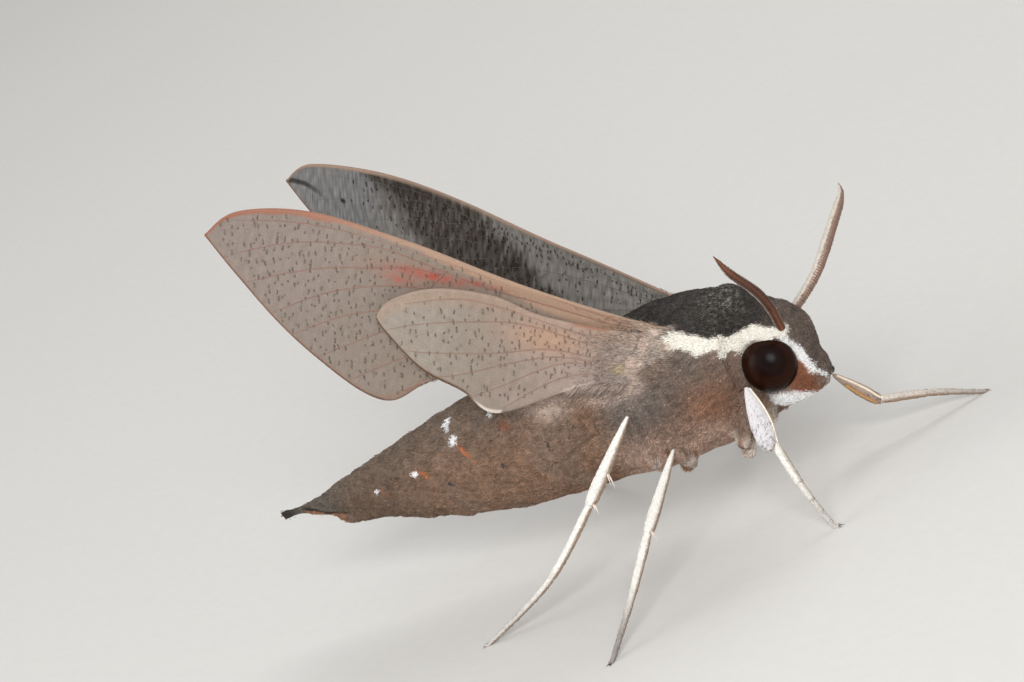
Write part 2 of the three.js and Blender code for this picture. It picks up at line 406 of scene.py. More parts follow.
def eye_finish():
    # Compound eye: clear lenses over dark red pigment. Tiny bumps on every lens hold back
    # reflections, so the eye is smooth and deep with only a faint highlight. The lenses,
    # about 0.03 mm wide, are drawn 0.07 mm wide so that they show.
    material, tree, shader = new_finish(
        "compound_eye_lens", Roughness=0.27, IOR=1.45, Specular_IOR_Level=0.07,
    )
    # The ramp paints a dark pseudopupil and a paler ring round it, by the angle from an axis
    # towards the camera: painted shade and a painted reflection.
    ring = add_node(tree, "ShaderNodeAttribute", attribute_name="ring")
    depth = add_node(tree, "ShaderNodeValToRGB", {"Fac": ring.outputs["Fac"]})
    stops = depth.color_ramp
    stops.interpolation = "B_SPLINE"
    codes = ((0.0, "070403"), (0.14, "0b0605"), (0.24, "1d0f0b"), (0.34, "120806"),
             (0.46, "24110b"), (0.68, "261106"), (0.88, "150904"))
    while len(stops.elements) < len(codes):
        stops.elements.new(0.5)
    for element, (spot, code) in zip(stops.elements, codes):
        element.position = spot
        element.color = (*linear(code), 1)
    tree.links.new(depth.outputs["Color"], shader.inputs["Base Color"])
    place = add_node(tree, "ShaderNodeTexCoord")
    facets = add_node(tree, "ShaderNodeTexVoronoi", {
        "Vector": place.outputs["Object"],
        "Scale": 1 / (0.07 * MM),
        "Randomness": 0.25,
    })
    relief = add_node(tree, "ShaderNodeBump", {
        "Height": facets.outputs["Distance"],
        "Distance": 0.004 * MM,
        "Strength": 0.3,
    }, invert=True)
    tree.links.new(relief.outputs["Normal"], shader.inputs["Normal"])
    return material


def bare_chitin_finish():
    # Bare chitin of claws, spurs and antennae, grown in layers that harden and darken: amber
    # brown and slightly glossy, with a faint mottle 0.3 mm across.
    return tinted_finish("bare_chitin", 0.3, 0.004, Roughness=0.35, IOR=1.56)[0]


HAIR = hair_scale_finish()
UNDERCOAT = undercoat_finish()
WING_UNDER = wing_finish("wing_scales_underside")
WING_UPPER = wing_finish("wing_scales_upperside")
EYE = eye_finish()
CHITIN = bare_chitin_finish()


# ---- the plan of the body ----

TAIL = np.array([-35.5, 0.0, 8.4])
SNOUT = np.array([9.8, 0.0, 8.8])
FACE_START, FACE_END = 7.2, 8.6
MIDLINE_X = np.array([-35.5, -7.2, 0.0, 4.4, 6.2, 9.8])
MIDLINE_Z = np.array([8.4, 10.3, 11.4, 12.0, 11.9, 9.4])

# Swellings of the flesh: the collar and the brow, and the roots of the wings.
COLLAR = (np.array([4.6, 0.0, 13.9]), np.array([3.2, 2.4, 3.55]))
BROW = (np.array([7.6, 0.0, 12.1]), np.array([2.55, 1.9, 3.35]))
WING_ROOTS = (
    (np.array([-0.1, 3.75, 15.3]), np.array([2.0, 0.95, 1.7])),
    (np.array([-1.65, 4.35, 14.2]), np.array([1.75, 0.85, 1.8])),
)
HIP_LOBES = (
    (np.array([2.95, 2.6, 6.1]), np.array([1.0, 0.92, 1.55])),
    (np.array([-1.5, 3.5, 7.0]), np.array([1.1, 1.0, 1.65])),
)
LENS_SWELL = (np.array([7.0, 1.35, 8.45]), np.array([1.95, 1.1, 1.0]))
WING_SINK = {"left": 1.0, "right": 0.0}

# Joints of the left legs, which the right ones mirror; "both" is a pair that stands alike.
LEGS = {
    "fore": {
        "hip": (3.6, 2.0, 7.6), "trochanter": (3.0, 3.4, 6.0), "tibia": (0.76, 0.42),
        "left": {"knee": (7.3, 6.1, 6.4), "ankle": (9.2, 8.0, 3.0), "foot": (15.3, 12.3, 0),
                 "bend": (0, 0, 0.25)},
        "right": {"knee": (5.8, 5.5, 11.3), "ankle": (6.4, 6.0, 7.1), "foot": (8.75, 6.4, 0),
                  "bend": (-0.3, 0, -0.3)},
    },
    "mid": {
        "hip": (-1.0, 2.4, 7.2), "trochanter": (-0.9, 3.8, 6.0), "tibia": (0.47, 0.43),
        "both": {"knee": (-0.5, 6.8, 8.6), "ankle": (-2.0, 12.6, 5.3), "foot": (-4.3, 20.9, 0),
                 "bend": (0, 0, -0.2)},
    },
    "hind": {
        "hip": (-3.2, 2.6, 6.8), "trochanter": (-3.7, 4.0, 6.2), "tibia": (0.52, 0.42),
        "both": {"knee": (-3.2, 5.9, 11.5), "ankle": (-7.0, 9.2, 7.0), "foot": (-16.8, 13.0, 0),
                 "bend": (0.7, 0, -0.5)},
    },
}


def leg_joints(pair, side):
    """The joints of one leg, from hip to foot, on its own side of the moth."""
    leg = LEGS[pair]
    stance = leg.get("both") or leg[side]
    joints = {key: leg[key] for key in ("hip", "trochanter")}
    joints.update({key: stance[key] for key in ("knee", "ankle", "foot")})
    joints = {key: mirrored(value, SIDES[side]) for key, value in joints.items()}
    joints["bend"] = mirrored(stance["bend"], SIDES[side])
    return joints


COXA_HALF, FEMUR_HALF = 0.9, 0.65
# Points this far off the middle line, or this low, can lie on a limb.
LIMBS_OUT, LIMBS_LOW = 3.9, 5.6


def upper_limbs():
    """Each coxa and femur as start, end and half width."""
    found = []
    for pair in LEGS:
        for side in SIDES:
            joints = leg_joints(pair, side)
            found.append((joints["hip"], joints["trochanter"], COXA_HALF))
            found.append((joints["trochanter"], joints["knee"], FEMUR_HALF))
    return found


UPPER_LIMBS = upper_limbs()


def on_limb(at):
    """Which upper limb each point lies on, or -1, with the share along it."""
    best, share = np.zeros((2, len(at)))
    which = np.full(len(at), -1)
    free = (np.abs(at[:, 1]) > LIMBS_OUT) | (at[:, 2] < LIMBS_LOW)
    for k, (start, end, half) in enumerate(UPPER_LIMBS):
        way = end - start
        t = np.clip((at - start) @ way / (way @ way), 0, 1)
        away = np.linalg.norm(at - start - t[:, None] * way, axis=1)
        score = half + 0.25 - away
        nearer = (score > best) & free
        best[nearer], which[nearer], share[nearer] = score[nearer], k, t[nearer]
    return which, share


# The edges of the white stripe from the wing's base to the eye.
STRIPE_X = np.array([0.2, 1.5, 2.5, 3.8, 4.6, 5.5, 6.7, 7.9, 8.4])
STRIPE_TOP = np.array([16.15, 15.75, 15.3, 14.6, 14.15, 14.1, 14.3, 13.7, 13.3])
STRIPE_FOOT = np.array([15.1, 14.7, 14.2, 13.4, 12.9, 12.95, 13.1, 12.8, 12.6])


def over_stripe(x, z, edge=STRIPE_TOP):
    """How far points lie above the stripe's top edge, or above another one."""
    return z - np.interp(x, STRIPE_X, edge)


def on_stripe(at):
    """1 on the white stripe from the wing's base to the eye, fading to 0 round it."""
    x, y, z = at.T
    top = ease(0.2, -0.05, over_stripe(x, z))
    foot = ease(-0.3, 0.0, over_stripe(x, z, STRIPE_FOOT))
    return top * foot * ease(-0.1, 0.3, x) * ease(8.8, 8.2, x) * (np.abs(y) > 1.3)


def by_wing_root(at):
    """1 on the swellings the wings grow from, fading to 0 a little way round them."""
    near = np.zeros(len(at))
    sink = np.where(at[:, 1] > 0, WING_SINK["left"], WING_SINK["right"])
    for centre, radii in WING_ROOTS:
        away = from_middle(at + vectors(0, 0, sink), centre, radii)
        near = np.maximum(near, ease(1.45, 1.0, away))
    return near * ease(2.4, 3.2, np.abs(at[:, 1]))


def lie_of_coat(at, out):
    """The way the hair-scales point: back over the body, forward on the face, down the limbs."""
    back = vectors(-1, 0, -0.45 * np.abs(out[:, 1]))
    back[:, 2] *= ease(-14, -6, at[:, 0])
    to_snout = unit(SNOUT + [0.8, 0, 0] - at)
    face = ease(FACE_START, FACE_END, at[:, 0] + 0.6 * (11.2 - at[:, 2]).clip(0, 3))
    flow = mix(back, to_snout, face)
    which, _ = on_limb(at)
    for k, (start, end, _) in enumerate(UPPER_LIMBS):
        flow[which == k] = unit(end - start)
    flow = mix(flow, vectors(-0.9, np.sign(at[:, 1]) * 0.12, 0.3), by_wing_root(at))
    level = np.array([-1.0, 0.0, 0.12])
    flow = mix(flow, level, on_stripe(at) * ease(8.4, 7.6, at[:, 0]))
    swirl = np.stack([mottle(at, 1.5, 21 + k) for k in range(3)], 1)
    flow = flow + 0.1 * swirl
    return unit(flow - out * (flow * out).sum(1, keepdims=True))


# ---- markings of the body ----

# The pale line down each side of the face.
FACE_LINE_Z = np.array([8.7, 9.7, 10.6, 11.8, 12.6, 13.3])
FACE_LINE_Y = np.array([0.4, 0.92, 1.12, 1.35, 1.6, 1.75])

# The slit below the tail: its colour follows the coat, its groove the skin.
SLIT_X = [-33.4, -31.7, -29.5]
SLIT_COLOUR_Z = [8.68, 8.08, 7.6]
SLIT_GROOVE_Z = [8.35, 7.75, 7.3]

# Each spot's place, half length, half height, tilt in degrees and colour.
SIDE_SPOTS = (
    (-18.75, 12.85, 0.28, 0.46, 15, SILVER),
    (-18.3, 11.8, 0.32, 0.4, 0, SILVER),
    (-17.35, 10.95, 0.85, 0.15, -46, RUST),
    (-22.25, 10.1, 0.3, 0.2, -20, SILVER),
    (-21.5, 9.95, 0.62, 0.16, -30, RUST),
    (-26.2, 9.2, 0.13, 0.18, 0, SILVER),
    (-25.45, 8.95, 0.45, 0.15, -30, FAINT_RUST),
    (-14.7, 13.1, 0.12, 0.18, 0, SILVER),
    (-13.6, 12.3, 0.5, 0.3, -40, FAINT_RUST),
    (-10.6, 10.3, 0.2, 0.2, 0, SPOT_DARK),
    (-14.75, 9.5, 0.18, 0.18, 0, SPOT_DARK),
    (-19.5, 8.9, 0.18, 0.18, 0, SPOT_DARK),
)


def from_spot(x, z, spot):
    """How far places lie from a spot's middle; 1 is the spot's edge."""
    spot_x, spot_z, long, high, tilt, _ = spot
    a = math.radians(tilt)
    along = (x - spot_x) * math.cos(a) + (z - spot_z) * math.sin(a)
    across = (z - spot_z) * math.cos(a) - (x - spot_x) * math.sin(a)
    return np.hypot(along / long, across / high)


def flank_paint(at):
    """Thorax: grey round the wing base, brown in front and below, pinkish on the chest."""
    x, y, z = at.T
    patchy = mottle(at, 2.4, 5)
    warm = 0.12 + 0.68 * blot(x, z, (2.9, 10.1), (2.7, 2.7)) + 0.12 * patchy
    warm = (warm + 0.08 * mottle(at, 5.0, 8)).clip(0, 1)
    colour = mix(all_over(FLANK_GREY, at), FLANK_BROWN, warm)
    pale = ease(10.8, 8.4, z + 0.5 * patchy) * (1 - 0.45 * ease(1.8, 3.4, x))
    colour = mix(colour, CHEST_PINK, 0.8 * pale)
    dusky = np.maximum(ease(2.0, 4.0, x) * ease(12.6, 11.8, z),
                       ease(2.2, 1.0, np.hypot(x - 0.9, z - 12.9)))
    return colour * (1 - 0.12 * dusky)[:, None]


def paint_abdomen(colour, at):
    """Brown, greyer above and towards the tail, with paler hair under the wings."""
    x, y, z = at.T
    patchy = mottle(at, 2.4, 5)
    loin = mix(LOIN_BROWN, FLANK_GREY, 0.3 * ease(0.1, 0.9, patchy))
    loin = mix(loin, LOIN_REAR, ease(-17, -27, x + 0.6 * mottle(at, 5.0, 8)))
    top = z - np.interp(x, MIDLINE_X, MIDLINE_Z)
    loin = mix(loin, LOIN_TOP, ease(0.5, 4.0, top + (x + 8) * -0.06) * ease(-9, -13, x) * 0.8)
    loin = mix(loin, TAIL_GREY, ease(-28.5, -31.5, x))
    loin = mix(loin, TAIL_TIP, ease(-33.4, -35.0, x))
    colour = mix(colour, loin, ease(-4.2, -7.5, x + 0.5 * patchy))
    skirt = ease(11.7, 13.0, z + 0.25 * patchy) * ease(-1.0, -2.3, x) * ease(-13.5, -10.0, x)
    return mix(colour, ROOT_PINK, 0.8 * skirt)


def paint_back(colour, at):
    """Dark, with pale flecks on the shoulders, ending along the white stripe."""
    x, y, z = at.T
    patchy = mottle(at, 2.4, 5)
    hinge_line = ease(3.6, 3.0, np.abs(y)) * ease(14.6, 15.4, z)
    shoulder = ease(-0.1, 0.12, over_stripe(x, z) + 0.12 * mottle(at, 0.7, 3))
    dark = np.where(x > 0.2, shoulder, hinge_line)
    dark = dark * ease(-9.5, -5.0, x + 0.5 * patchy) * ease(9.0, 8.0, x)
    crest = ease(2.3, 0.2, np.abs(x - 4.9 + 0.3 * patchy)) * ease(14.8, 16.8, z)
    fleck = ease(0.4, 1.3, mottle(at, 0.15, 31) + 0.2 * crest)
    fleck = fleck * (0.1 + 0.45 * ease(0.8, 4.0, x) + 0.35 * crest)
    back = mix(BACK_BROWN, mix(BACK_FLECK[None], CREST_FLECK[None], crest), fleck)
    return mix(colour, back, dark)


def paint_head(colour, at):
    """A grey-brown brow between two pale lines, red-brown cheeks and a white lens below."""
    x, y, z = at.T
    aside = np.abs(y)
    off_line = aside - np.interp(z, FACE_LINE_Z, FACE_LINE_Y)
    front = ease(7.0, 7.8, x + 0.25 * (z - 11))
    brow = front * ease(0.1, -0.1, off_line)
    head_top = ease(5.8, 6.9, x) * ease(-0.2, 0.1, over_stripe(x, z))
    crown = mix(BACK_BROWN, BROW_GREY, ease(6.5, 8.6, x))
    colour = mix(colour, crown, np.maximum(brow, head_top))
    outside = ease(0.0, 0.15, off_line)
    shade = ease(6.4, 7.2, x) * outside * ease(11.0, 12.2, z)
    colour = mix(colour, EYE_SHADE, 0.9 * shade)
    cheek = ease(7.0, 7.6, x) * outside * ease(12.2, 11.2, z)
    colour = mix(colour, mix(CHEEK_RED[None], FLANK_GREY[None], 0.8 * ease(8.5, 9.6, x)), cheek)
    below = ease(4.8, 5.4, x) * ease(9.2, 8.6, x)
    colour = mix(colour, BROW_GREY, below * ease(8.0, 7.6, z))
    lens = np.hypot((x - 6.85) / 1.95, (z - 8.3 + 0.1 * (x - 6.9)) / 0.68)
    colour = mix(colour, LENS_RIM, below * ease(1.3, 1.12, lens) * ease(8.0, 7.7, z))
    colour = mix(colour, CHEEK_WHITE, ease(1.06, 0.94, lens) * (aside > 0.8))
    pale_line = ease(0.21, 0.12, np.abs(off_line - 0.05)) * front * ease(8.4, 8.8, z)
    return mix(colour, CHEEK_WHITE, pale_line * ease(13.9, 13.3, z))


def white_stripe(at):
    """How much of the white stripe shows; it runs from wing base to eye, ragged below."""
    x, y, z = at.T
    rough = mottle(at, 0.7, 3)
    ragged = 0.14 * mottle(at, 0.5, 41) + 0.06 * rough
    stripe = ease(0.1, -0.06, over_stripe(x, z) + 0.06 * rough)
    stripe = stripe * ease(-0.14, 0.06, over_stripe(x, z, STRIPE_FOOT) + ragged)
    start = ease(-0.1, 0.25, x - 0.7 - 0.35 * (16.1 - z) + 0.5 * ragged)
    return stripe * start * ease(8.6, 8.1, x) * ease(1.3, 1.7, np.abs(y))


def paint_small_marks(colour, at):
    """The eye's rim, the antenna's white tuft, the slit below the tail and the side spots."""
    x, y, z = at.T
    rim = from_middle(at, EYE_CENTRE, EYE_RADII)
    colour = mix(colour, BROW_GREY, 0.85 * ease(1.14, 1.04, rim) * ease(7.2, 6.2, x) * (z > 10))
    tuft = ease(0.55, 0.3, from_middle(at, ANTENNA_ROOT, 1.0))
    colour = mix(colour, STRIPE_WHITE, 0.9 * tuft)
    slit = z - np.interp(x, SLIT_X, SLIT_COLOUR_Z)
    by_slit = ease(-33.8, -33.2, x) * ease(-29.6, -30.6, x)
    lip = ease(-1.3, -0.9, slit) * ease(-0.05, -0.15, slit)
    colour = mix(colour, LIP_BROWN, 0.8 * by_slit * lip)
    # The line of the slit itself is painted near black: painted shade in its groove.
    colour = mix(colour, TAIL_TIP * 0.6, by_slit * ease(0.2, 0.12, np.abs(slit)))
    for spot in SIDE_SPOTS:
        near = from_spot(x, z, spot) + 0.3 * mottle(at, 0.22, 51)
        colour = mix(colour, spot[-1], ease(1.1, 0.85, near) * (np.abs(y) > 1.2))
    return colour


def paint_wing_roots(colour, at, stripe):
    """Grey-pink hair round the roots of the wings."""
    x, y, z = at.T
    root = by_wing_root(at) * (1 - stripe) * ease(1.6, 0.8, x)
    root = root * (1 - 0.85 * ease(-3.4, -2.4, x) * ease(14.6, 14.0, z)) * ease(13.0, 13.8, z)
    hair = mix(ROOT_GREY, ROOT_PINK, ease(-0.6, 0.8, mottle(at, 0.8, 47) - (x + 1.2) * 0.5))
    return mix(colour, hair, root)


def paint_hips(colour, at, out):
    """Lobes pale in front and orange-brown behind; coxae and femora pale with tan fronts."""
    z = at[:, 2]
    lobes = [from_middle(at, centre, radii) for centre, radii in HIP_LOBES]
    for near, (centre, _), upper, lower in zip(lobes, HIP_LOBES, LOBE_UPPER, LOBE_LOWER):
        tone = mix(all_over(upper, at), lower, ease(-0.3, -1.3, z - centre[2]))
        colour = mix(colour, tone, ease(1.1, 0.8, near) * ease(7.9, 7.2, z))
    which, _ = on_limb(at)
    hips = (which >= 0) * ease(7.6, 6.8, z)
    tan = ease(0.3, -0.5, out[:, 0] + 0.2 * mottle(at, 2.4, 5))
    clear = ease(0.9, 1.2, np.min(lobes, axis=0))
    return mix(colour, mix(HIP_PALE, HIP_BROWN, 0.75 * tan), hips * clear)


def body_paint(at, out):
    """The colour of the moth's skin and coat at points of its body."""
    colour = paint_head(paint_back(paint_abdomen(flank_paint(at), at), at), at)
    stripe = white_stripe(at)
    colour = paint_small_marks(mix(colour, STRIPE_WHITE, stripe), at)
    colour = paint_hips(paint_wing_roots(colour, at, stripe), at, out)
    grain = 0.14 * mottle(at, 0.22, 53) + 0.08 * mottle(at, 0.6, 55)
    return colour * (1 + grain * (1 - stripe))[:, None]


# ---- skin ----

FLESH = ["head", "thorax", "abdomen", "palp_left", "palp_right"] + [
    f"leg_{pair}_{side}_{part}"
    for pair in LEGS for side in SIDES for part in ("coxa", "femur")
]
SKIN_SWELL = 0.2
SKIN_VOXEL = 0.18
# The skin shows only between the hair-scales. It takes the coat's markings at this share of their
# brightness, as painted shade.
SKIN_PAINTED_SHADE = 0.62
FIRST_RING_X, RING_SPACING = -7.6, 3.05


def coat_depth(at):
    """How far the skin lies under the tips of its coat."""
    x = at[:, 0]
    depth = 0.3 - 0.1 * ease(-8, -16, x) - 0.06 * ease(-28, -33, x)
    depth = depth - 0.14 * ease(5.0, 7.0, x)
    which, _ = on_limb(at)
    return np.where(which >= 0, 0.14, depth)


def relaxed(points, edges, rounds):
    """Smooth points along their edges without shrinking what they outline."""
    count = np.bincount(edges.ravel(), minlength=len(points))[:, None]
    for step in range(rounds):
        total = np.stack([
            np.bincount(edges[:, 0], points[edges[:, 1], axis], len(points))
            + np.bincount(edges[:, 1], points[edges[:, 0], axis], len(points))
            for axis in range(3)
        ], 1)
        pull = 0.6 if step % 2 == 0 else -0.62
        points = points + pull * (total / count - points)
    return points


def skin_surface():
    """One closed skin round the nodes of flesh: its points and four-sided faces."""
    whole = bmesh.new()
    for name in FLESH:
        part = bmesh.new()
        part.from_mesh(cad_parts[name].data)
        bmesh.ops.scale(part, vec=(1 / MM,) * 3, verts=part.verts)
        bmesh.ops.remove_doubles(part, verts=part.verts, dist=0.002)
        bmesh.ops.recalc_face_normals(part, faces=part.faces)
        part.normal_update()
        moves = [(v, v.normal * SKIN_SWELL) for v in part.verts]
        for v, move in moves:
            v.co += move
        swollen = bpy.data.meshes.new("swollen")
        part.to_mesh(swollen)
        whole.from_mesh(swollen)
        part.free()
        bpy.data.meshes.remove(swollen)
    swellings = [COLLAR, BROW]
    for side, sign in SIDES.items():
        swellings.append((mirrored(EYE_CENTRE, sign), EYE_RADII + SKIN_SWELL - 0.02))
        for centre, radii in WING_ROOTS:
            swellings.append((mirrored(centre, sign) - [0, 0, WING_SINK[side]], radii))
        for centre, radii in (*HIP_LOBES, LENS_SWELL):
            swellings.append((mirrored(centre, sign), radii))
    for centre, radii in swellings:
        place = Matrix.Translation(centre + SHIFT) @ Matrix.Diagonal((*radii, 1))
        bmesh.ops.create_icosphere(whole, subdivisions=4, radius=1, matrix=place)
    joined = bpy.data.meshes.new("flesh")
    whole.to_mesh(joined)
    whole.free()
    block = new_object("flesh", joined)
    remesh = block.modifiers.new("remesh", "REMESH")
    remesh.mode = "VOXEL"
    remesh.voxel_size = SKIN_VOXEL
    bpy.context.view_layer.update()
    ready = block.evaluated_get(bpy.context.evaluated_depsgraph_get()).to_mesh()
    points = np.zeros(len(ready.vertices) * 3, np.float32)
    ready.vertices.foreach_get("co", points)
    faces = np.zeros(len(ready.loops), np.int32)
    ready.loops.foreach_get("vertex_index", faces)
    edges = np.zeros(len(ready.edges) * 2, np.int32)
    ready.edges.foreach_get("vertices", edges)
    points = points.reshape(-1, 3).astype(float) - SHIFT
    bpy.data.objects.remove(block)
    return points, faces.reshape(-1, 4), edges.reshape(-1, 2)


def halves(quads):
    return np.concatenate([quads[:, [0, 1, 2]], quads[:, [0, 2, 3]]])


def body_relief(at):
    """How far the skin stands proud of the plain form: rings, ridges and folds, in mm."""
    x, y, z = at.T
    rings = (x - FIRST_RING_X) / RING_SPACING
    near_ring = np.abs(rings - np.round(rings)) * RING_SPACING
    relief = -0.1 * ease(0.35, 0.0, near_ring) * ease(-8.5, -10.5, x) * ease(-33, -30, x)
    relief += 0.05 * mottle(at, 1.6, 61)
    collar = np.abs(x - 5.9 + 0.1 * (z - 14))
    relief -= 0.05 * ease(0.4, 0.0, collar) * ease(12.0, 14.0, z)
    belly_end = ease(-32.9, -31.9, x) * ease(-27.0, -30.0, x) * ease(7.4, 7.0, z)
    relief += 0.55 * belly_end - 0.12 * ease(-33.0, -33.6, x) * ease(8.9, 8.5, z)
    relief += 0.06 * ease(-32.8, -33.6, x)
    slit = np.abs(z - np.interp(x, SLIT_X, SLIT_GROOVE_Z))
    relief -= 0.2 * ease(0.25, 0.0, slit) * ease(-33.6, -33.0, x) * ease(-29.2, -30.0, x)
    shoulder = np.abs(over_stripe(x, z) - 0.1)
    relief += 0.18 * ease(0.8, 0.0, shoulder) * ease(-3, 0.5, x) * ease(5.2, 4.2, x)
    crease = np.abs(z - np.interp(x, [-11.0, -8.3, -5.8], [8.4, 9.5, 10.4]))
    relief -= 0.2 * ease(0.3, 0.0, crease) * ease(-11.4, -10.6, x) * ease(-4.6, -5.8, x)
    return relief


def open_eyes(points):
    """Draw back the skin that overhangs an eye, so the whole eye shows from its side."""
    centre = mirrored_like(EYE_CENTRE, points[:, 1])
    far = from_middle(points, EYE_CENTRE, EYE_RADII)
    drawn = 0.36 * ease(1.45, 1.15, far) * ease(1.15, 1.75, np.abs(points[:, 1]))
    return centre + (points - centre) * (1 - drawn / far)[:, None]


def build_skin():
    points, quads, edges = skin_surface()
    points = relaxed(points, edges, 36)
    triangles = halves(quads)
    inwards = SKIN_SWELL + coat_depth(points) - body_relief(points)
    points = points - normals_of(points, triangles) * inwards[:, None]
    points = open_eyes(relaxed(points, edges, 4))
    out = normals_of(points, triangles)
    # The skin wears the coat's markings darkened: painted shade for where it shows deep between the
    # hair-scales.
    made = shape(points, triangles, tint=body_paint(points, out) * SKIN_PAINTED_SHADE)
    add_piece("skin", made, [UNDERCOAT], stands_for=FLESH)
    return points, triangles, out


SKIN_POINTS, SKIN_FACES, SKIN_OUT = build_skin()


# ---- coat ----

# The side of a tuft's patch on its OFBake map, and how many blades make a tuft.
PATCH = 0.003
BLADES = 3
# How much darker or paler a blade is at its foot's two corners, its middle and its tip.
BLADE_FADE = np.array([-0.25, -0.25, 0.0, 0.05, 0.0, 0.1])


def grow(roots, out, flow, length, width, lift, tint, place, seed, blades=BLADES, splay=0.22,
         jitter=0.07):
    """Solid hair-scales in small tufts; all the blades of a tuft start close to its root.

    Length, width and lift are plain numbers or one for each root. Returns the shape and its
    OFBake map, where each tuft is one small patch at `place`.
    """
    random = np.random.default_rng(seed)
    length, width, lift = (np.broadcast_to(size, len(roots)) for size in (length, width, lift))
    many = len(roots) * blades
    pick = np.repeat(np.arange(len(roots)), blades)
    strip = np.tile(np.arange(blades), len(roots)) / blades
    turn = random.normal(0, splay, many)[:, None]
    normal = out[pick]
    side = np.cross(normal, flow[pick])
    along = flow[pick] * np.cos(turn) + side * np.sin(turn)
    side = np.cross(normal, along)
    long = (length[pick] * random.uniform(0.7, 1.15, many))[:, None]
    wide = (width[pick] * random.uniform(0.8, 1.2, many))[:, None]
    rise = (lift[pick] * random.uniform(0.6, 1.3, many))[:, None]
    spot = roots[pick] + side * random.normal(0, jitter, many)[:, None]
    spot = spot + along * random.normal(0, jitter, many)[:, None]
    roll = random.normal(0, 0.35, many)[:, None]
    side, crown = (side * np.cos(roll) + normal * np.sin(roll),
                   normal * np.cos(roll) - side * np.sin(roll))
    foot = spot - normal * 0.06
    middle = spot + along * long * 0.5 * np.cos(rise) + normal * long * 0.6 * np.sin(rise)
    tip = spot + along * long * np.cos(rise) + normal * long * np.sin(rise)
    thick = wide * 0.3
    points = np.stack([
        foot + side * wide * 0.3, foot - side * wide * 0.3,
        middle + side * wide * 0.5, middle + crown * thick, middle - side * wide * 0.5,
        tip,
    ], 1)
    blade = np.array([
        [0, 1, 3], [0, 3, 2], [1, 4, 3], [0, 2, 4], [0, 4, 1], [2, 3, 5], [3, 4, 5], [4, 2, 5],
    ])
    triangles = (blade[None] + 6 * np.arange(many)[:, None, None]).reshape(-1, 3)
    # Dark coats are peppered with paler hair-scales, and white ones are nearly even.
    dark, white = ease(0.1, 0.02, tint.mean(1)), ease(0.4, 0.7, tint.mean(1))
    unlike = 0.2 + 0.24 * dark - 0.17 * white
    tuft = random.normal(0, 0.8, len(roots)) * unlike
    shade = 1 + tuft[pick] + random.normal(0, 0.7, many) * unlike[pick]
    shade = tint[pick] * shade.clip(0.6, 1.9)[:, None]
    fade = BLADE_FADE * (1 - 0.8 * white[pick])[:, None]
    colour = shade[:, None, :] * (1 + fade[..., None])
    a = np.array([0, 1, 0, 0.5, 1, 0.5]) / blades
    b = np.array([0, 0, 0.5, 0.5, 0.5, 1.0])
    patch = np.stack([strip[:, None] + a[None], np.broadcast_to(b, (many, 6))], -1)
    patch = place[pick][:, None, :] + PATCH * (patch - 0.5)
    made = shape(points.reshape(-1, 3), triangles, tint=colour.reshape(-1, 3).clip(0, 0.97))
    return made, patch.reshape(-1, 2)


def rolled_out(at):
    """Where points of the body lie on its skin unrolled round the middle line."""
    x, y, z = at.T
    long = (x - TAIL[0]) / (SNOUT[0] + 0.6 - TAIL[0])
    round_body = turned(y, z - np.interp(x, MIDLINE_X, MIDLINE_Z))
    place = np.stack([0.01 + 0.98 * long, 0.01 + 0.58 * round_body], 1)
    which, share = on_limb(at)
    for k, (start, end, _) in enumerate(UPPER_LIMBS):
        on = which == k
        way = unit(end - start)
        flat = at[on] - start
        flat = flat - way * (flat @ way)[:, None]
        place[on, 0] = (k % 6 + 0.05 + 0.9 * share[on]) / 6
        place[on, 1] = 0.62 + 0.18 * (k // 6) + 0.16 * turned(flat[:, 0], flat[:, 2])
    return place.clip(0.002, 0.998)


def strewn(points, triangles, per_mm2, seed, *fields):
    """Random spots spread over a surface, and what each of the fields is there."""
    random = np.random.default_rng(seed)
    a, b, c = (points[triangles[:, k]] for k in range(3))
    area = np.linalg.norm(np.cross(b - a, c - a), axis=1) / 2
    number = np.floor(per_mm2 * area + random.random(len(area))).astype(int)
    corners = np.repeat(triangles, number, axis=0)
    u, v = random.random((2, len(corners)))
    fold = u + v > 1
    u, v = np.where(fold, 1 - u, u), np.where(fold, 1 - v, v)
    share = np.stack([1 - u - v, u, v], 1)[..., None]
    return [(field[corners] * share).sum(1) for field in (points, *fields)]


def coat_lengths(at):
    """Length, width and lift of the hair-scales at points of the body."""
    x, y, z = at.T
    stripe = on_stripe(at)
    hips = (on_limb(at)[0] >= 0) * ease(8.0, 7.0, z)
    length = 0.35 - 0.02 * ease(-6, -11, x) - 0.08 * ease(14.6, 16.2, z) * (1 - stripe)
    length = length - 0.07 * ease(5.0, 6.8, x) - 0.05 * ease(7.0, 8.5, x)
    length = length + 0.2 * by_wing_root(at) - 0.06 * stripe - 0.12 * hips
    length = length * (1 - 0.5 * ease(-32.5, -34.5, x))
    length = length * (0.55 + 0.45 * ease(1.1, 1.5, from_middle(at, EYE_CENTRE, EYE_RADII)))
    width = 0.06 - 0.005 * ease(5.0, 7.0, x)
    lift = 0.22 - 0.04 * ease(-6, -11, x) - 0.14 * stripe - 0.16 * ease(-31, -33, x)
    for spot in SIDE_SPOTS:
        near = ease(1.6, 1.1, from_spot(x, z, spot))
        length, lift = length * (1 - 0.4 * near), lift * (1 - 0.5 * near)
        width = width + 0.02 * near
    return length, width, lift


def clear_of_eyes(at, margin):
    """Which points stand outside both eyes by the margin."""
    return from_middle(at, EYE_CENTRE, EYE_RADII + margin) > 1


NECK_X, WAIST_X, BELT_X = 4.6, -7.2, -16
FLANK_TOP = 12.6


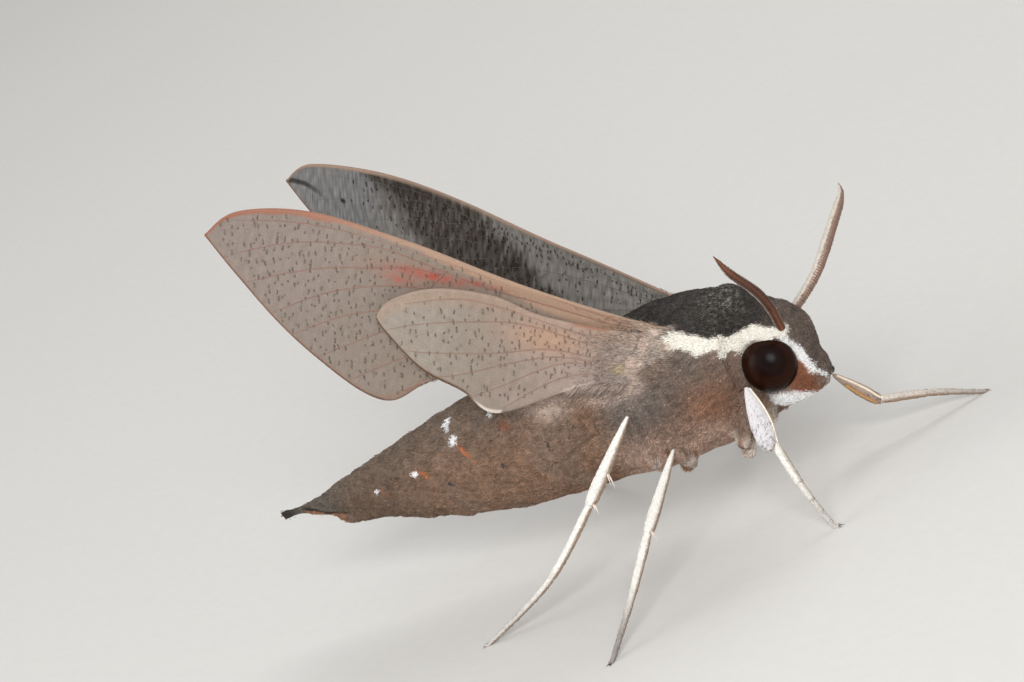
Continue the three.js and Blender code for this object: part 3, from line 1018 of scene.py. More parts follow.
def coat_regions():
    """The skin's triangles that each piece of coat grows on, and the tufts in a square mm."""
    centre = SKIN_POINTS[SKIN_FACES].mean(1)
    x, y, z = centre.T
    limb = on_limb(centre)[0] >= 0
    density = 44 - 18 * ease(-7.2, -9, x) + 10 * ease(4.0, 6.0, x)
    density = np.where(limb, 34, density + 26 * on_stripe(centre))
    chest = (x > WAIST_X) & (x <= NECK_X)
    side = chest & (z <= FLANK_TOP)
    regions = {
        "head": x > NECK_X,
        "thorax_back": chest & (z > FLANK_TOP),
        "thorax_side_left": side & (y > 0),
        "thorax_side_right": side & (y <= 0),
        "abdomen_front": (x <= WAIST_X) & (x > BELT_X),
        "abdomen_rear": x <= BELT_X,
    }
    regions = {name: chosen & ~limb for name, chosen in regions.items()}
    return {**regions, "hips": limb}, density


def build_coat():
    regions, density = coat_regions()
    for seed, (name, chosen) in enumerate(regions.items()):
        roots, out = strewn(SKIN_POINTS, SKIN_FACES[chosen], density[chosen], 100 + seed, SKIN_OUT)
        out = unit(out)
        flow = lie_of_coat(roots, out)
        length, width, lift = coat_lengths(roots)
        rise = flow * np.cos(lift)[:, None] + out * np.sin(lift)[:, None]
        seen = clear_of_eyes(roots, 0.09) & clear_of_eyes(roots + rise * length[:, None], 0.03)
        roots, out, *looks = (v[seen] for v in (roots, out, flow, length, width, lift))
        made, patch = grow(roots, out, *looks, body_paint(roots, out), rolled_out(roots),
                           200 + seed)
        add_piece(f"coat_{name}", made, [HAIR], patch=patch)


build_coat()


# ---- wings ----

# Wings are drawn flat: how far out along the wing each point lies and how far back.
FOREWING = {
    "hinge": (-0.4, 4.1, 16.1), "span": 32.1, "rows": 270, "columns": 54,
    "front": [[0, -0.6], [9.8, -1.7], [17.6, -2.95], [24.5, -3.4], [30.0, -2.2], [32.1, 0]],
    "rear": [[0, 0.9], [7.5, 3.9], [14.1, 7.0], [17.7, 9.6], [23.2, 7.4], [29.2, 2.8],
             [32.1, 0.1]],
    "tuck": 0.5,
    "left": {"rise": 30, "spread": 6.9, "lean": 6.6, "sink": 1.0},
    "right": {"rise": 31, "spread": 5.4, "lean": 0, "sink": -0.28},
    "veins": [
        [(0.6, -0.3), (6, -1.05), (12, -1.7), (17, -2.3), (22, -2.6), (26, -2.3), (30.2, -1.5)],
        [(0.6, 0.0), (7, -0.55), (12, -0.9), (17.2, -1.75), (19.6, -2.0), (23.3, -1.45),
         (26, -0.7), (28.8, 0.5), (30.6, 1.5)],
        [(14.6, -1.1), (17.5, -1.0), (18.8, -0.6), (22.2, 0.16), (25.3, 1.3), (28.9, 3.0)],
        [(15.6, 0.2), (18.9, 0.75), (22.8, 2.26), (26.6, 4.8)],
        [(15.2, 1.3), (19.35, 2.82), (21.85, 4.0), (24.9, 6.1)],
        [(0.7, 0.3), (6, 0.55), (11, 0.95), (14.4, 1.9), (18.4, 4.24), (20.9, 5.97), (22.9, 7.5)],
        [(10.6, 0.95), (13, 3.2), (15.75, 5.2), (17.7, 6.6), (20.3, 8.6)],
        [(0.7, 0.6), (6, 2.6), (11, 4.7), (17.3, 9.2)],
        [(14.7, -1.1), (15.3, -0.2), (15.6, 0.6), (15.0, 1.6)],
    ],
}
HINDWING = {
    "hinge": (-1.9, 5.4, 15.6), "span": 17.9, "rows": 124, "columns": 52,
    "front": [[0, -1.5], [3.0, -1.85], [6.5, -2.2], [9.7, -3.0], [14.0, -2.8], [17.0, -1.4],
              [17.9, 0]],
    "rear": [[0, 2.4], [3.2, 3.0], [8.6, 5.8], [11.3, 4.6], [14.3, 3.5], [17.0, 1.2],
             [17.9, 0.1]],
    "tuck": 1.0,
    "left": {"rise": 26, "spread": 6.9, "lean": 6.6, "sink": 1.0},
    "right": {"rise": 27, "spread": 5.4, "lean": 0, "sink": 0},
    "veins": [
        [(-0.7, 0.3), (1.5, -0.85), (4, -1.35), (8, -2.1), (12, -2.35), (16.0, -1.3)],
        [(-0.7, 0.55), (1.5, -0.2), (4, -0.8), (7, -1.25), (10.0, -1.0), (14.6, 0.0), (17.2, 0.9)],
        [(-0.7, 0.8), (1.5, 0.6), (5.3, 0.27), (9.4, 1.3), (14.0, 2.1), (15.9, 2.2)],
        [(-0.7, 0.95), (1.5, 0.85), (4.5, 0.7), (7.3, 1.5), (12.0, 3.5), (13.6, 3.8)],
        [(-0.7, 1.1), (1.5, 1.1), (4.5, 1.25), (8.3, 3.5), (10.6, 4.9)],
        [(-0.7, 1.25), (1.5, 1.6), (4.5, 2.4), (8.4, 5.4)],
    ],
}
WING_HALF = 0.05
WING_BURIED = 1.5
WING_ASH = linear("82766e")
WING_FAWN = linear("7f7368")
WING_ROSE = linear("8f8075")
COSTA_PINK = linear("926452")
COSTA_TAN = linear("9d826e")
WING_RED = linear("a53c31")
MARGIN_BROWN = linear("5f422f")
MARGIN_ORANGE = linear("8c5e44")
UPPER_ASH = linear("74706b")
UPPER_TIP = linear("6c6b6a")
UPPER_BAND = linear("2c241c")
UPPER_INK = linear("221c18")
UPPER_COSTA = linear("8d7767")
HIND_GREY = linear("8e847a")
HIND_ORANGE = linear("a3826b")
HIND_ROSE = linear("93837a")
HIND_AMBER = linear("b09a6e")
HIND_RED = linear("9c4536")
HIND_CREAM = linear("dcd2c6")
VEIN_PINK = linear("8f665a")
VEIN_TAN = linear("8c6c5e")
VEIN_GREY = linear("6f6a66")
FLECK_DARK = linear("6a6058")
FLECK_BROWN = linear("7d736a")


def wing_edges(wing):
    """The wing's front and rear edges, as how far back each lies at any place along it."""
    front = through(wing["front"], 240)
    rear = through(wing["rear"], 240)
    return (lambda s: np.interp(s, front[:, 0], front[:, 1]),
            lambda s: np.interp(s, rear[:, 0], rear[:, 1]))


def wing_height(wing, s, t):
    """How far the middle of the membrane stands out of the wing's flat plane."""
    front, rear = wing_edges(wing)
    u = np.clip((t - front(s)) / np.maximum(rear(s) - front(s), 0.05), 0, 1)
    share = s / wing["span"]
    bow = 0.6 * np.sin(math.pi * share.clip(0, 1)) * u * (1 - u)
    turn = wing["tuck"] * np.clip(1 - share / 0.3, 0, 2) ** 2
    pleat = 0.04 * np.sin(u * 9 * math.pi) * np.clip(share * 3, 0, 1) * (1 - share.clip(0, 1))
    curl = 0.1 * mottle(np.stack([s, t], 1), 6.0, 71) * ease(0.3, 0.8, share)
    return bow - turn + pleat + curl


def plate_half(wing, s):
    """Half the thickness of a wing's plate, twice as stout at its root."""
    return WING_HALF * (1 + ease(0.25, 0.0, s / wing["span"]))


def wing_to_body(wing, side, local):
    """Points of a wing, as (along, out, back), in the moth's frame."""
    pose = wing[side]
    place = Matrix.Rotation(math.radians(-pose["spread"]), 3, "Z")
    place = place @ Matrix.Rotation(math.radians(pose["rise"]), 3, "Y")
    place = place @ Matrix.Rotation(math.radians(pose["lean"]), 3, "X")
    flat = local * [-1, 1, -1]
    body = flat @ np.array(place).T + np.array(wing["hinge"]) - [0, 0, pose["sink"]]
    return body * [1, SIDES[side], 1]


def wing_wise(shape_made, side):
    """Turn a mirrored shape's triangles right side out."""
    if SIDES[side] < 0:
        shape_made["triangles"] = shape_made["triangles"][:, ::-1]
    return shape_made


def band_share(s, t):
    """The dark band across the forewing's upper side, strongest near the front edge."""
    inner = 17.0 - 1.15 * (t + 3)
    outer = 25.4 - 0.85 * (t + 3)
    return ease(-1.6, 1.2, s - inner) * ease(1.3, -1.3, s - outer)


def striae(s, t, seed):
    """Fine short streaks across the wing."""
    return mottle(np.stack([s * 5.5, t], 1), 1.1, seed)


def forewing_paint(s, t, under):
    at = np.stack([s, t], 1)
    soft = mottle(at, 1.6, 81)
    fine = mottle(at, 0.5, 83)
    front, rear = wing_edges(FOREWING)
    from_front, to_rear = t - front(s), rear(s) - t
    tip = s / FOREWING["span"]
    if under:
        colour = mix(all_over(WING_FAWN, s), WING_ASH, ease(0.45, 0.8, tip + 0.04 * soft))
        colour = mix(colour, WING_ROSE, ease(0.34, 0.08, tip + 0.03 * soft))
        colour = colour * (1 + 0.025 * fine + 0.03 * striae(s, t, 85))[:, None]
        band = np.interp(s, [0, 7, 11, 18, 32], [1.6, 1.3, 0.8, 0.39, 0.37])
        band = ease(band + 0.13, band - 0.13, from_front + 0.05 * soft)
        colour = mix(colour, mix(COSTA_TAN[None], COSTA_PINK[None], ease(0.45, 0.85, tip)), band)
        # The strip between the costal band and the hindwing's front edge is mixed towards tan,
        # which is its own colour. It is also made a tenth paler, as painted light where it lies in
        # shade beside the hindwing.
        painted_light_strip = ease(0.5, 1.2, from_front) * ease(4.0, 2.4, from_front) * ease(15, 9, s)
        colour = mix(colour, COSTA_TAN, 0.25 * painted_light_strip) * (1 + 0.1 * painted_light_strip)[:, None]
        glow = np.maximum(blot(s, t, (15.9, -0.75), (2.4, 0.33)),
                          0.7 * blot(s, t, (12.4, -0.95), (1.8, 0.2)))
        glow = np.maximum(glow, 0.6 * blot(s, t, (17.8, 0), (1.1, 0.3)))
        colour = mix(colour, WING_RED, 0.75 * glow * (1 + 0.35 * fine))
        colour = mix(colour, COSTA_PINK, 0.3 * blot(s, t, (16.5, -0.6), (3.5, 0.9)))
    else:
        colour = mix(all_over(UPPER_ASH, s), UPPER_TIP, ease(0.7, 0.8, tip))
        colour = colour * (1 + 0.3 * ease(9, 3, s))[:, None]
        streaks = striae(s, t, 85)
        band = band_share(s, t + 0.3 * soft + 0.5 * streaks)
        colour = mix(colour, UPPER_BAND, band * (0.84 + 0.16 * streaks))
        costal = ease(1.2, 0.4, np.hypot((s - 22.0) / 1.6, (t + 2.6) / 0.8)) * 0.6
        colour = mix(colour, UPPER_INK, costal)
        colour = colour * (1 + 0.04 * fine + 0.07 * streaks + 0.13 * striae(s * 1.7, t, 87)
                           + 0.1 * striae(s * 3, t * 1.6, 89))[:, None]
        streak_t = np.interp(s, [28.3, 29.3, 30.4, 31.6, 32.1], [0.75, 0.0, -0.32, -0.2, 0.0])
        streak = ease(0.34, 0.1, np.abs(t - streak_t)) * ease(28.1, 30.6, s)
        colour = mix(colour, UPPER_INK, 0.9 * streak)
        for spot_s, spot_t, size in ((27.23, 0.06, 0.24), (13.32, 1.33, 0.42)):
            colour = mix(colour, UPPER_INK, ease(1.1, 0.7, np.hypot(s - spot_s, t - spot_t) / size))
        colour = mix(colour, UPPER_COSTA, ease(0.3, 0.15, from_front))
    outer = s > 17.7
    colour = mix(colour, MARGIN_ORANGE, 0.6 * ease(0.32, 0.14, to_rear) * outer)
    colour = mix(colour, MARGIN_BROWN, ease(0.16, 0.08, to_rear) * outer)
    return mix(colour, MARGIN_ORANGE, 0.35 * ease(0.8, 0.1, to_rear) * ~outer * (s > 8))


def hindwing_paint(s, t, under):
    at = np.stack([s, t], 1)
    soft = mottle(at, 1.6, 91)
    fine = mottle(at, 0.5, 93)
    front, rear = wing_edges(HINDWING)
    from_front, to_rear = t - front(s), rear(s) - t
    tip = s / HINDWING["span"]
    if under:
        colour = mix(all_over(WING_FAWN, s), HIND_GREY, ease(0.4, 0.9, tip + 0.04 * soft))
        colour = mix(colour, HIND_ROSE, ease(12.5, 3.0, s + 0.6 * soft))
        orange = 0.85 * blot(s, t, (5.6, -0.5), (2.9, 1.2))
        orange = np.maximum(orange, 0.35 * ease(1.6, 0.5, from_front))
        colour = mix(colour, HIND_ORANGE, orange)
        colour = colour * (1 + 0.025 * fine + 0.03 * striae(s, t, 95))[:, None]
        edge = ease(0.4, 0.15, to_rear) * ease(2.0, 2.4, s) * ease(4.6, 3.8, s)
        colour = mix(colour, HIND_CREAM, 0.35 * edge)
        edge = ease(0.22, 0.08, from_front) * ease(4.4, 3.4, s) * ease(0.9, 1.8, s)
        colour = mix(colour, MARGIN_ORANGE, 0.8 * edge)
        colour = mix(colour, HIND_AMBER, 0.7 * blot(s, t, (0.1, 1.2), (0.7, 0.4)))
        lobe = ease(11.0, 9.6, s) * (s > 8.4)
        colour = mix(colour, HIND_CREAM, ease(0.24, 0.14, to_rear) * lobe)
        colour = mix(colour, MARGIN_BROWN, ease(0.22, 0.12, to_rear) * ease(9.8, 11.0, s))
    else:
        colour = all_over(HIND_RED, s) * (1 + 0.08 * fine[:, None])
        colour = mix(colour, UPPER_BAND, ease(2.0, 1.0, to_rear + 0.3 * soft) * (s > 8.5))
        colour = mix(colour, HIND_CREAM, 0.8 * ease(0.3, 0.15, to_rear) * (s > 8.4))
        colour = mix(colour, HIND_GREY, ease(0.9, 0.6, from_front))
    return colour


def membrane(wing, paint):
    """A wing's thin closed plate, before it is posed, with its markings."""
    rows, columns = wing["rows"], wing["columns"]
    front, rear = wing_edges(wing)
    share = 0.5 - 0.5 * np.cos(math.pi * np.linspace(0, 1, rows))
    share = 0.35 * share + 0.65 * np.linspace(0, 1, rows)
    s = np.repeat(share * (wing["span"] + WING_BURIED) - WING_BURIED, columns)
    u = np.tile(np.linspace(0, 1, columns), rows)
    t = front(s) + (rear(s) - front(s)) * u
    height = wing_height(wing, s, t)
    rounding = np.sqrt(np.clip(1 - (1 - np.clip(np.minimum(u, 1 - u) * 25, 0, 1)) ** 2, 0, 1))
    half = (plate_half(wing, s) + 1.2 * WING_HALF * ease(0.08, 0.0, u)) * (0.3 + 0.7 * rounding)
    outer = vectors(s, height + half, t).reshape(rows, columns, 3)
    inner = vectors(s, height - half, t).reshape(rows, columns, 3)
    points = np.concatenate([outer, inner[:, ::-1]], 1).reshape(-1, 3)
    triangles = grid(rows, 2 * columns, closed=True)
    tint = np.concatenate([
        paint(s, t, True).reshape(rows, columns, 3),
        paint(s, t, False).reshape(rows, columns, 3)[:, ::-1],
    ], 1).reshape(-1, 3)
    caps = []
    for row, turn in ((0, 1), (rows - 1, -1)):
        k = row * 2 * columns + np.arange(columns)
        mate = row * 2 * columns + 2 * columns - 1 - np.arange(columns)
        strip = np.concatenate([
            np.stack([k[:-1], mate[:-1], k[1:]], 1),
            np.stack([k[1:], mate[:-1], mate[1:]], 1),
        ])
        caps.append(strip[:, ::turn])
    triangles = np.concatenate([triangles] + caps)
    finish = (triangles % (2 * columns) >= columns).all(1).astype(int)
    return shape(points, triangles, tint=tint), finish


def vein_ribs(wing, outward, paint, tone, stout=1.0):
    """Raised veins along one face of the wing, before it is posed."""
    front, rear = wing_edges(wing)
    ribs = []
    for line in wing["veins"]:
        path = through(line, 46)
        s, t = path.T
        t = np.clip(t, front(s) + 0.16, rear(s) - 0.05)
        height = wing_height(wing, s, t) + outward * (plate_half(wing, s) + 0.005)
        share = np.linspace(0, 1, len(s))
        half = stout * (0.07 - 0.035 * share) * np.clip((1 - share) * 12 + 0.2, 0, 1)
        rib = tube(vectors(s, height, t), half, half * 0.5, (0, 0, 1), sides=6)
        s, _, t = rib["points"].T
        ground = paint(s, t, outward > 0) * 0.95
        rib["fields"] = {"tint": mix(ground, tone, 0.6 - 0.35 * ease(3.5, 0.5, s))}
        ribs.append(rib)
    return together(ribs)


def wing_scales(wing, outward, s, t, flow, length, width, lift, tint, seed, **settings):
    """Raised scales or hairs on one face of the wing, or on its edge, before it is posed."""
    flow = unit(flow)
    level = wing_height(wing, s, t)
    climb = (wing_height(wing, s + 0.2 * flow[:, 0], t + 0.2 * flow[:, 2]) - level) / 0.2
    flow = flow + climb[:, None] * [0, 1, 0] * abs(outward)
    height = level + outward * (plate_half(wing, s) + 0.03)
    out = all_over([0.0, outward or 1.0, 0.0], s)
    out = unit(out - unit(flow) * (out * unit(flow)).sum(1, keepdims=True) * abs(outward))
    band = {1: 0.75, 0: 0.42, -1: 0.1}[outward]
    place = np.stack([0.02 + 0.94 * s / wing["span"], band + t / 45], 1)
    return grow(vectors(s, height, t), out, unit(flow), length, width, lift, tint, place, seed,
                **settings)


def flecks(wing, outward, paint, spacing, chance, inks, seed, longest):
    """Short dark dashes across the wing, each a few flat scales side by side."""
    random = np.random.default_rng(seed)
    front, rear = wing_edges(wing)
    s, t = np.meshgrid(np.arange(0.8, wing["span"], spacing), np.arange(-3.4, 9.6, spacing))
    s = s.ravel() + random.uniform(-0.45, 0.45, s.size) * spacing
    t = t.ravel() + random.uniform(-0.45, 0.45, t.size) * spacing
    inside = (t > front(s) + 0.45) & (t < rear(s) - np.where(s < 8.6, 0.8, 0.5))
    kept = inside & (random.random(len(s)) < chance(s, t))
    s, t = s[kept], t[kept]
    count = random.integers(3, longest + 1, len(s))
    pick = np.repeat(np.arange(len(s)), count)
    step = np.concatenate([np.arange(n) - (n - 1) / 2 for n in count]) * 0.045
    # Each dash thins to the wing's colour towards its ends. This gives soft ends, and is also
    # painted light against the shade at the raised ends of its scales.
    faded = 1 - 0.75 * (np.abs(step) / (count[pick] * 0.0225)) ** 2
    slant = random.normal(-0.12, 0.12, len(s))
    scale_s = s[pick] + slant[pick] * step + random.normal(0, 0.012, len(pick))
    ink = mix(all_over(inks[0], s), inks[1], random.random(len(s)))
    ground = paint(s, t, outward > 0)
    ink = mix(ground[pick], ink[pick], random.uniform(0.45, 1.0, len(s))[pick] * faded)
    flow = all_over([1.0, 0.0, 0.0], pick)
    return wing_scales(wing, outward, scale_s, t[pick] + step, flow, 0.15, 0.09, 0.02,
                       ink, seed + 1, blades=1, splay=0.1, jitter=0.0)


def root_hairs(wing, paint, outward, count, seed):
    """Soft hair over the wing's base, which thins out along the wing."""
    random = np.random.default_rng(seed)
    front, rear = wing_edges(wing)
    s = random.exponential(1.1, count) - 0.8
    s = s[s < 5]
    u = random.uniform(0.02, 0.98, len(s))
    t = front(s) + (rear(s) - front(s)) * u
    flow = vectors(1, 0, 0.5 * (u - 0.4))
    tint = paint(s, t, outward > 0) * random.uniform(0.75, 1.15, (len(s), 1))
    tint = mix(tint, HIND_CREAM, 0.3 * random.random(len(s)) * ease(3, 0, s))
    length = 0.6 - 0.35 * ease(0, 3, s)
    return wing_scales(wing, outward, s, t, flow, length, 0.05, 0.04, tint, seed, blades=2,
                       splay=0.15)


def rear_hairs(wing, low, high, per_mm, length, tint, seed):
    """Soft hair that hangs from the inner part of the wing's rear edge."""
    random = np.random.default_rng(seed)
    _, rear = wing_edges(wing)
    s = random.uniform(low, high, int(per_mm * (high - low)))
    t = rear(s) - random.uniform(0.0, 0.6, len(s))
    flow = all_over([0.8, -0.2, 0.6], s)
    tint = all_over(tint, s) * random.uniform(0.85, 1.1, (len(s), 1))
    return wing_scales(wing, 1, s, t, flow, length, 0.05, 0.03, tint, seed, blades=2, splay=0.2)


def fringe(wing, tint_of, seed, low, high, length):
    """The fine fringe of scales along the wing's outer edge."""
    rear = through(wing["rear"], 1500)
    way = unit(np.gradient(rear, axis=0))
    away = np.stack([-way[:, 1], way[:, 0]], 1)
    away[away[:, 1] < 0] *= -1
    chosen = (rear[:, 0] > low) & (rear[:, 0] < high)
    (s, t), away = (rear - away * 0.08)[chosen].T, away[chosen]
    flow = vectors(away[:, 0] + 0.35, 0, away[:, 1])
    return wing_scales(wing, 0, s, t, flow, length, 0.06, 0.02, tint_of(s), seed, blades=2,
                       splay=0.06, jitter=0.015)


def build_wing(name, wing, paint, looks):
    for side in SIDES:
        plate, finish = membrane(wing, paint)
        under = vein_ribs(wing, 1, paint, looks["vein_under"])
        upper = vein_ribs(wing, -1, paint, looks["vein_upper"], stout=0.45)
        finish = np.concatenate([finish, np.zeros(len(under["triangles"])),
                                 np.ones(len(upper["triangles"]))])
        whole = together([plate, under, upper])
        whole["points"] = wing_to_body(wing, side, whole["points"])
        wing_wise(whole, side)
        add_piece(f"{name}_{side}_membrane", whole, [WING_UNDER, WING_UPPER],
                  stands_for=[f"{name}_{side}"], finish=finish)
        seed = looks["seed"]
        parts = [
            flecks(wing, 1, paint, *looks["flecks_under"], seed, 9),
            flecks(wing, -1, paint, *looks["flecks_upper"], seed + 3, 9),
            fringe(wing, looks["fringe"], seed + 6, *looks["fringe_reach"]),
            rear_hairs(wing, *looks["rear_hairs"], seed + 7),
            root_hairs(wing, paint, 1, looks["root_hairs"], seed + 9),
            root_hairs(wing, paint, -1, 600, seed + 11),
        ]
        scales = together([made for made, _ in parts])
        scales["points"] = wing_to_body(wing, side, scales["points"])
        wing_wise(scales, side)
        patch = np.concatenate([patch for _, patch in parts])
        add_piece(f"{name}_{side}_scales", scales, [HAIR], patch=patch)


def forewing_under_flecks(s, t):
    return 0.62 * ease(5, 11, s) * ease(31.5, 30, s)


def forewing_upper_flecks(s, t):
    in_front = ease(2.6, 0.8, t - wing_edges(FOREWING)[0](s)) * ease(18, 15, s)
    share = np.maximum(0.15 + 0.45 * band_share(s, t), 0.85 * in_front)
    return share * ease(27.5, 23.5, s) * ease(0.5, 2, s)


def hindwing_under_flecks(s, t):
    near = blot(s, t, (5.0, -0.8), (4.0, 1.3))
    return (0.45 + 0.5 * near) * ease(0.8, 2, s) * ease(17, 15, s)


def hindwing_upper_flecks(s, t):
    return 0.15 + 0.3 * ease(10, 14, s)


def build_wings():
    build_wing("forewing", FOREWING, forewing_paint, {
        "vein_under": VEIN_PINK, "vein_upper": VEIN_GREY * 0.7,
        "flecks_under": (0.5, forewing_under_flecks, (FLECK_DARK, FLECK_BROWN)),
        "flecks_upper": (0.4, forewing_upper_flecks, (UPPER_BAND * 0.8, UPPER_BAND * 1.2)),
        "fringe": lambda s: all_over(MARGIN_BROWN, s), "fringe_reach": (17.2, 31.8, 0.07),
        "rear_hairs": (0.5, 15, 55, 0.45, WING_ROSE), "root_hairs": 900,
        "seed": 300,
    })
    build_wing("hindwing", HINDWING, hindwing_paint, {
        "vein_under": VEIN_TAN, "vein_upper": HIND_RED * 0.7,
        "flecks_under": (0.5, hindwing_under_flecks, (FLECK_DARK, FLECK_BROWN)),
        "flecks_upper": (0.5, hindwing_upper_flecks, (UPPER_INK, UPPER_BAND)),
        "fringe": lambda s: mix(all_over(HIND_CREAM, s), MARGIN_BROWN, ease(9.6, 11, s)),
        "fringe_reach": (8.4, 17.6, 0.09),
        # The hair below the hindwing's rear edge takes the wing's rose at 1.35 times its
        # brightness: painted light for hair that hangs in shade under the wing.
        "rear_hairs": (-0.9, 3.4, 170, 1.6, HIND_ROSE * 1.35), "root_hairs": 1300,
        "seed": 340,
    })


build_wings()


# ---- eyes ----

# The eye's ramp is laid round this axis. The axis points at the camera on the right eye and is
# mirrored on the left. The dark pseudopupil and the paler ring round it are painted shade and a
# painted reflection, as the eye looks from there.
PAINTED_PUPIL_AXIS = unit(np.array([0.36, 0.85, 0.41]))


def build_eyes():
    ball = bmesh.new()
    bmesh.ops.create_icosphere(ball, subdivisions=6, radius=1)
    ways = np.array([v.co for v in ball.verts])
    faces = np.array([[v.index for v in face.verts] for face in ball.faces])
    ball.free()
    for side, sign in SIDES.items():
        ring = np.arccos(np.clip(ways @ (PAINTED_PUPIL_AXIS * [1, sign, 1]), -1, 1)) / math.pi * 2
        made = shape(mirrored(EYE_CENTRE, sign) + ways * EYE_RADII, faces, ring=ring)
        add_piece(f"compound_eye_{side}", made, [EYE],
                  stands_for=[f"eye_{side}"])


build_eyes()


# ---- antennae ----

# The line of each antenna past its root, for the left side; the right one is mirrored.
ANTENNAE = {
    "left": [(10.02, 3.6, 15.0), (11.15, 7.3, 17.1), (11.65, 9.3, 18.25), (11.5, 10.0, 18.95)],
    "right": [(8.65, 3.0, 15.6), (9.15, 5.5, 17.9), (9.19, 8.4, 20.54), (9.05, 9.6, 22.4)],
}
ANTENNA_RUST = linear("8a4a22")
ANTENNA_DARK = linear("43200d")
ANTENNA_TAN = linear("917260")
ANTENNA_CREAM = linear("d8cec2")
ANTENNA_STOUT = {"left": 1.03, "right": 0.86}
ANTENNA_JOINTS = 56
ANTENNA_TAPER = ([0, 0.04, 0.12, 0.5, 0.82, 0.94, 1.0], [0.34, 0.37, 0.39, 0.41, 0.36, 0.18, 0.03])
# An antenna's surface counts as scaled where more than this share of it is.
SCALED = 0.3
# The side of each antenna that carries the pale scales.
ANTENNA_SCALED = {"left": unit(np.array([-0.97, 0.04, 0.24])),
                  "right": unit(np.array([-0.43, 0.86, -0.28]))}


def antenna_paint(side, out, way, joint):
    """Cream scales along one side; the rest is tan, then dark, and rust down its middle."""
    axis = ANTENNA_SCALED[side] - way * (way @ ANTENNA_SCALED[side])[:, None]
    facing = (out * unit(axis)).sum(1)
    scaled = ease(-0.15, 0.05, facing)
    bare = mix(all_over(ANTENNA_TAN, out), ANTENNA_DARK, ease(-0.35, -0.62, facing))
    if side == "right":
        bare = mix(bare, ANTENNA_RUST, ease(-0.8, -0.93, facing))
    else:
        bare = ANTENNA_TAN + 0.15 * (bare - ANTENNA_TAN)
    bare = bare * (1 - 0.55 * ease(0.5, 0.8, joint))[:, None]
    return mix(bare, ANTENNA_CREAM, scaled), scaled


def build_antennae():
    for seed, (side, sign) in enumerate(SIDES.items()):
        rows = ANTENNA_JOINTS * 6 + 1
        path = through([ANTENNA_ROOT, *ANTENNAE[side]], rows) * [1, sign, 1]
        share = np.linspace(0, 1, rows)
        tooth = share * ANTENNA_JOINTS % 1
        half = np.interp(share, *ANTENNA_TAPER) * ANTENNA_STOUT[side]
        shaft = tube(path, half * (0.88 + 0.2 * tooth), half * (0.78 + 0.16 * tooth), (1, 0, 0),
                     sides=18)
        points, triangles, fields = (shaft[key] for key in ("points", "triangles", "fields"))
        out, along, way = normals_of(points, triangles), fields["along"], fields["way"]
        tint, scaled = antenna_paint(side, out, way, along * ANTENNA_JOINTS % 1)
        density = np.where(scaled[triangles].mean(1) > SCALED, 50, 10)
        roots, out, way, scaled, along = strewn(points, triangles, density, 400 + seed, out, way,
                                                scaled[:, None], along[:, None])
        pale, along = scaled[:, 0] > SCALED, along[:, 0]
        spot_tint, _ = antenna_paint(side, out, unit(way), along * ANTENNA_JOINTS % 1)
        place = np.stack([0.02 + 0.95 * along, 0.1 + 0.8 * turned(out[:, 1], out[:, 2])], 1)
        # Flat scales on the pale side; short fine bristles that stand up on the other.
        made, patch = grow(roots, unit(out), unit(way), np.where(pale, 0.2, 0.12),
                           np.where(pale, 0.08, 0.025), np.where(pale, 0.06, 0.75), spot_tint,
                           place, 410 + seed, blades=1, jitter=0.0)
        shaft["fields"] = {"tint": tint * 0.9}
        add_piece(f"feeler_{side}", shaft, [CHITIN],
                  stands_for=[f"antenna_{side}"])
        add_piece(f"feeler_{side}_scales", made, [HAIR], patch=patch)


build_antennae()


# ---- lower legs ----

LEG_WHITE = linear("f5f1ea")
LEG_PEPPER = linear("6a6468")
LEAF_LILAC = linear("dcd8da")
LEG_GREY = linear("857c76")
LEG_TAN = linear("a08a76")
LEG_FAWN = linear("a88a74")
SPUR_PALE = linear("dccdc0")
CLAW_AMBER = linear("4a2c18")
LEG_SCALES_PER_MM2 = 34
SPUR_SPREAD = 0.28
SOLE_LENGTH = 0.4
SOLE_HEIGHT = 0.14
SOLE_BARE = 0.12
LEAF_TIP = np.array([-0.25, 0.45, -0.32])
FAR_BLADE = np.array([0.1, -0.42, -0.12])
BLADE_AMBER = linear("b98b52")
RIDGE_CREAM = linear("f0e2cc")
TARSUS_JOINTS = np.array([0.0, 0.44, 0.62, 0.76, 0.87, 1.0])
TARSUS_TAPER = ([0, 0.1, 0.5, 0.9, 1.0], [0.3, 0.33, 0.25, 0.18, 0.15])
LEAF = ([0, 0.08, 0.3, 0.55, 0.8, 0.93, 1.0], [0.15, 0.38, 0.74, 1.0, 0.97, 0.75, 0.35])
SHIN = ([0, 0.1, 0.35, 0.75, 0.93, 1.0], [0.25, 0.46, 0.74, 1.0, 0.92, 0.66])
SPURS = {"fore": (), "mid": ((0.97, 0.9),), "hind": ((0.62, 1.3), (0.97, 0.9))}


def leg_paint(pair, side, along, out, tarsus):
    """White in front, tan behind and greyer towards the claws; lilac white on the leaf."""
    facing = out @ unit(np.array([-0.5, 0.0, 0.7]))
    leaf = pair == "fore" and not tarsus
    front = ease(-0.9, -0.5, facing) if leaf else ease(-0.55, -0.1, facing)
    colour = mix(all_over(LEG_TAN, along), LEAF_LILAC if leaf else LEG_WHITE, front)
    if (pair, side) == ("fore", "left"):
        colour = mix(colour, LEG_FAWN, 0.8 - 0.4 * tarsus)
    end = ease(0.3, 0.8, along) * tarsus
    return mix(colour, LEG_GREY, end * (0.85 if pair == "mid" else 0.45))


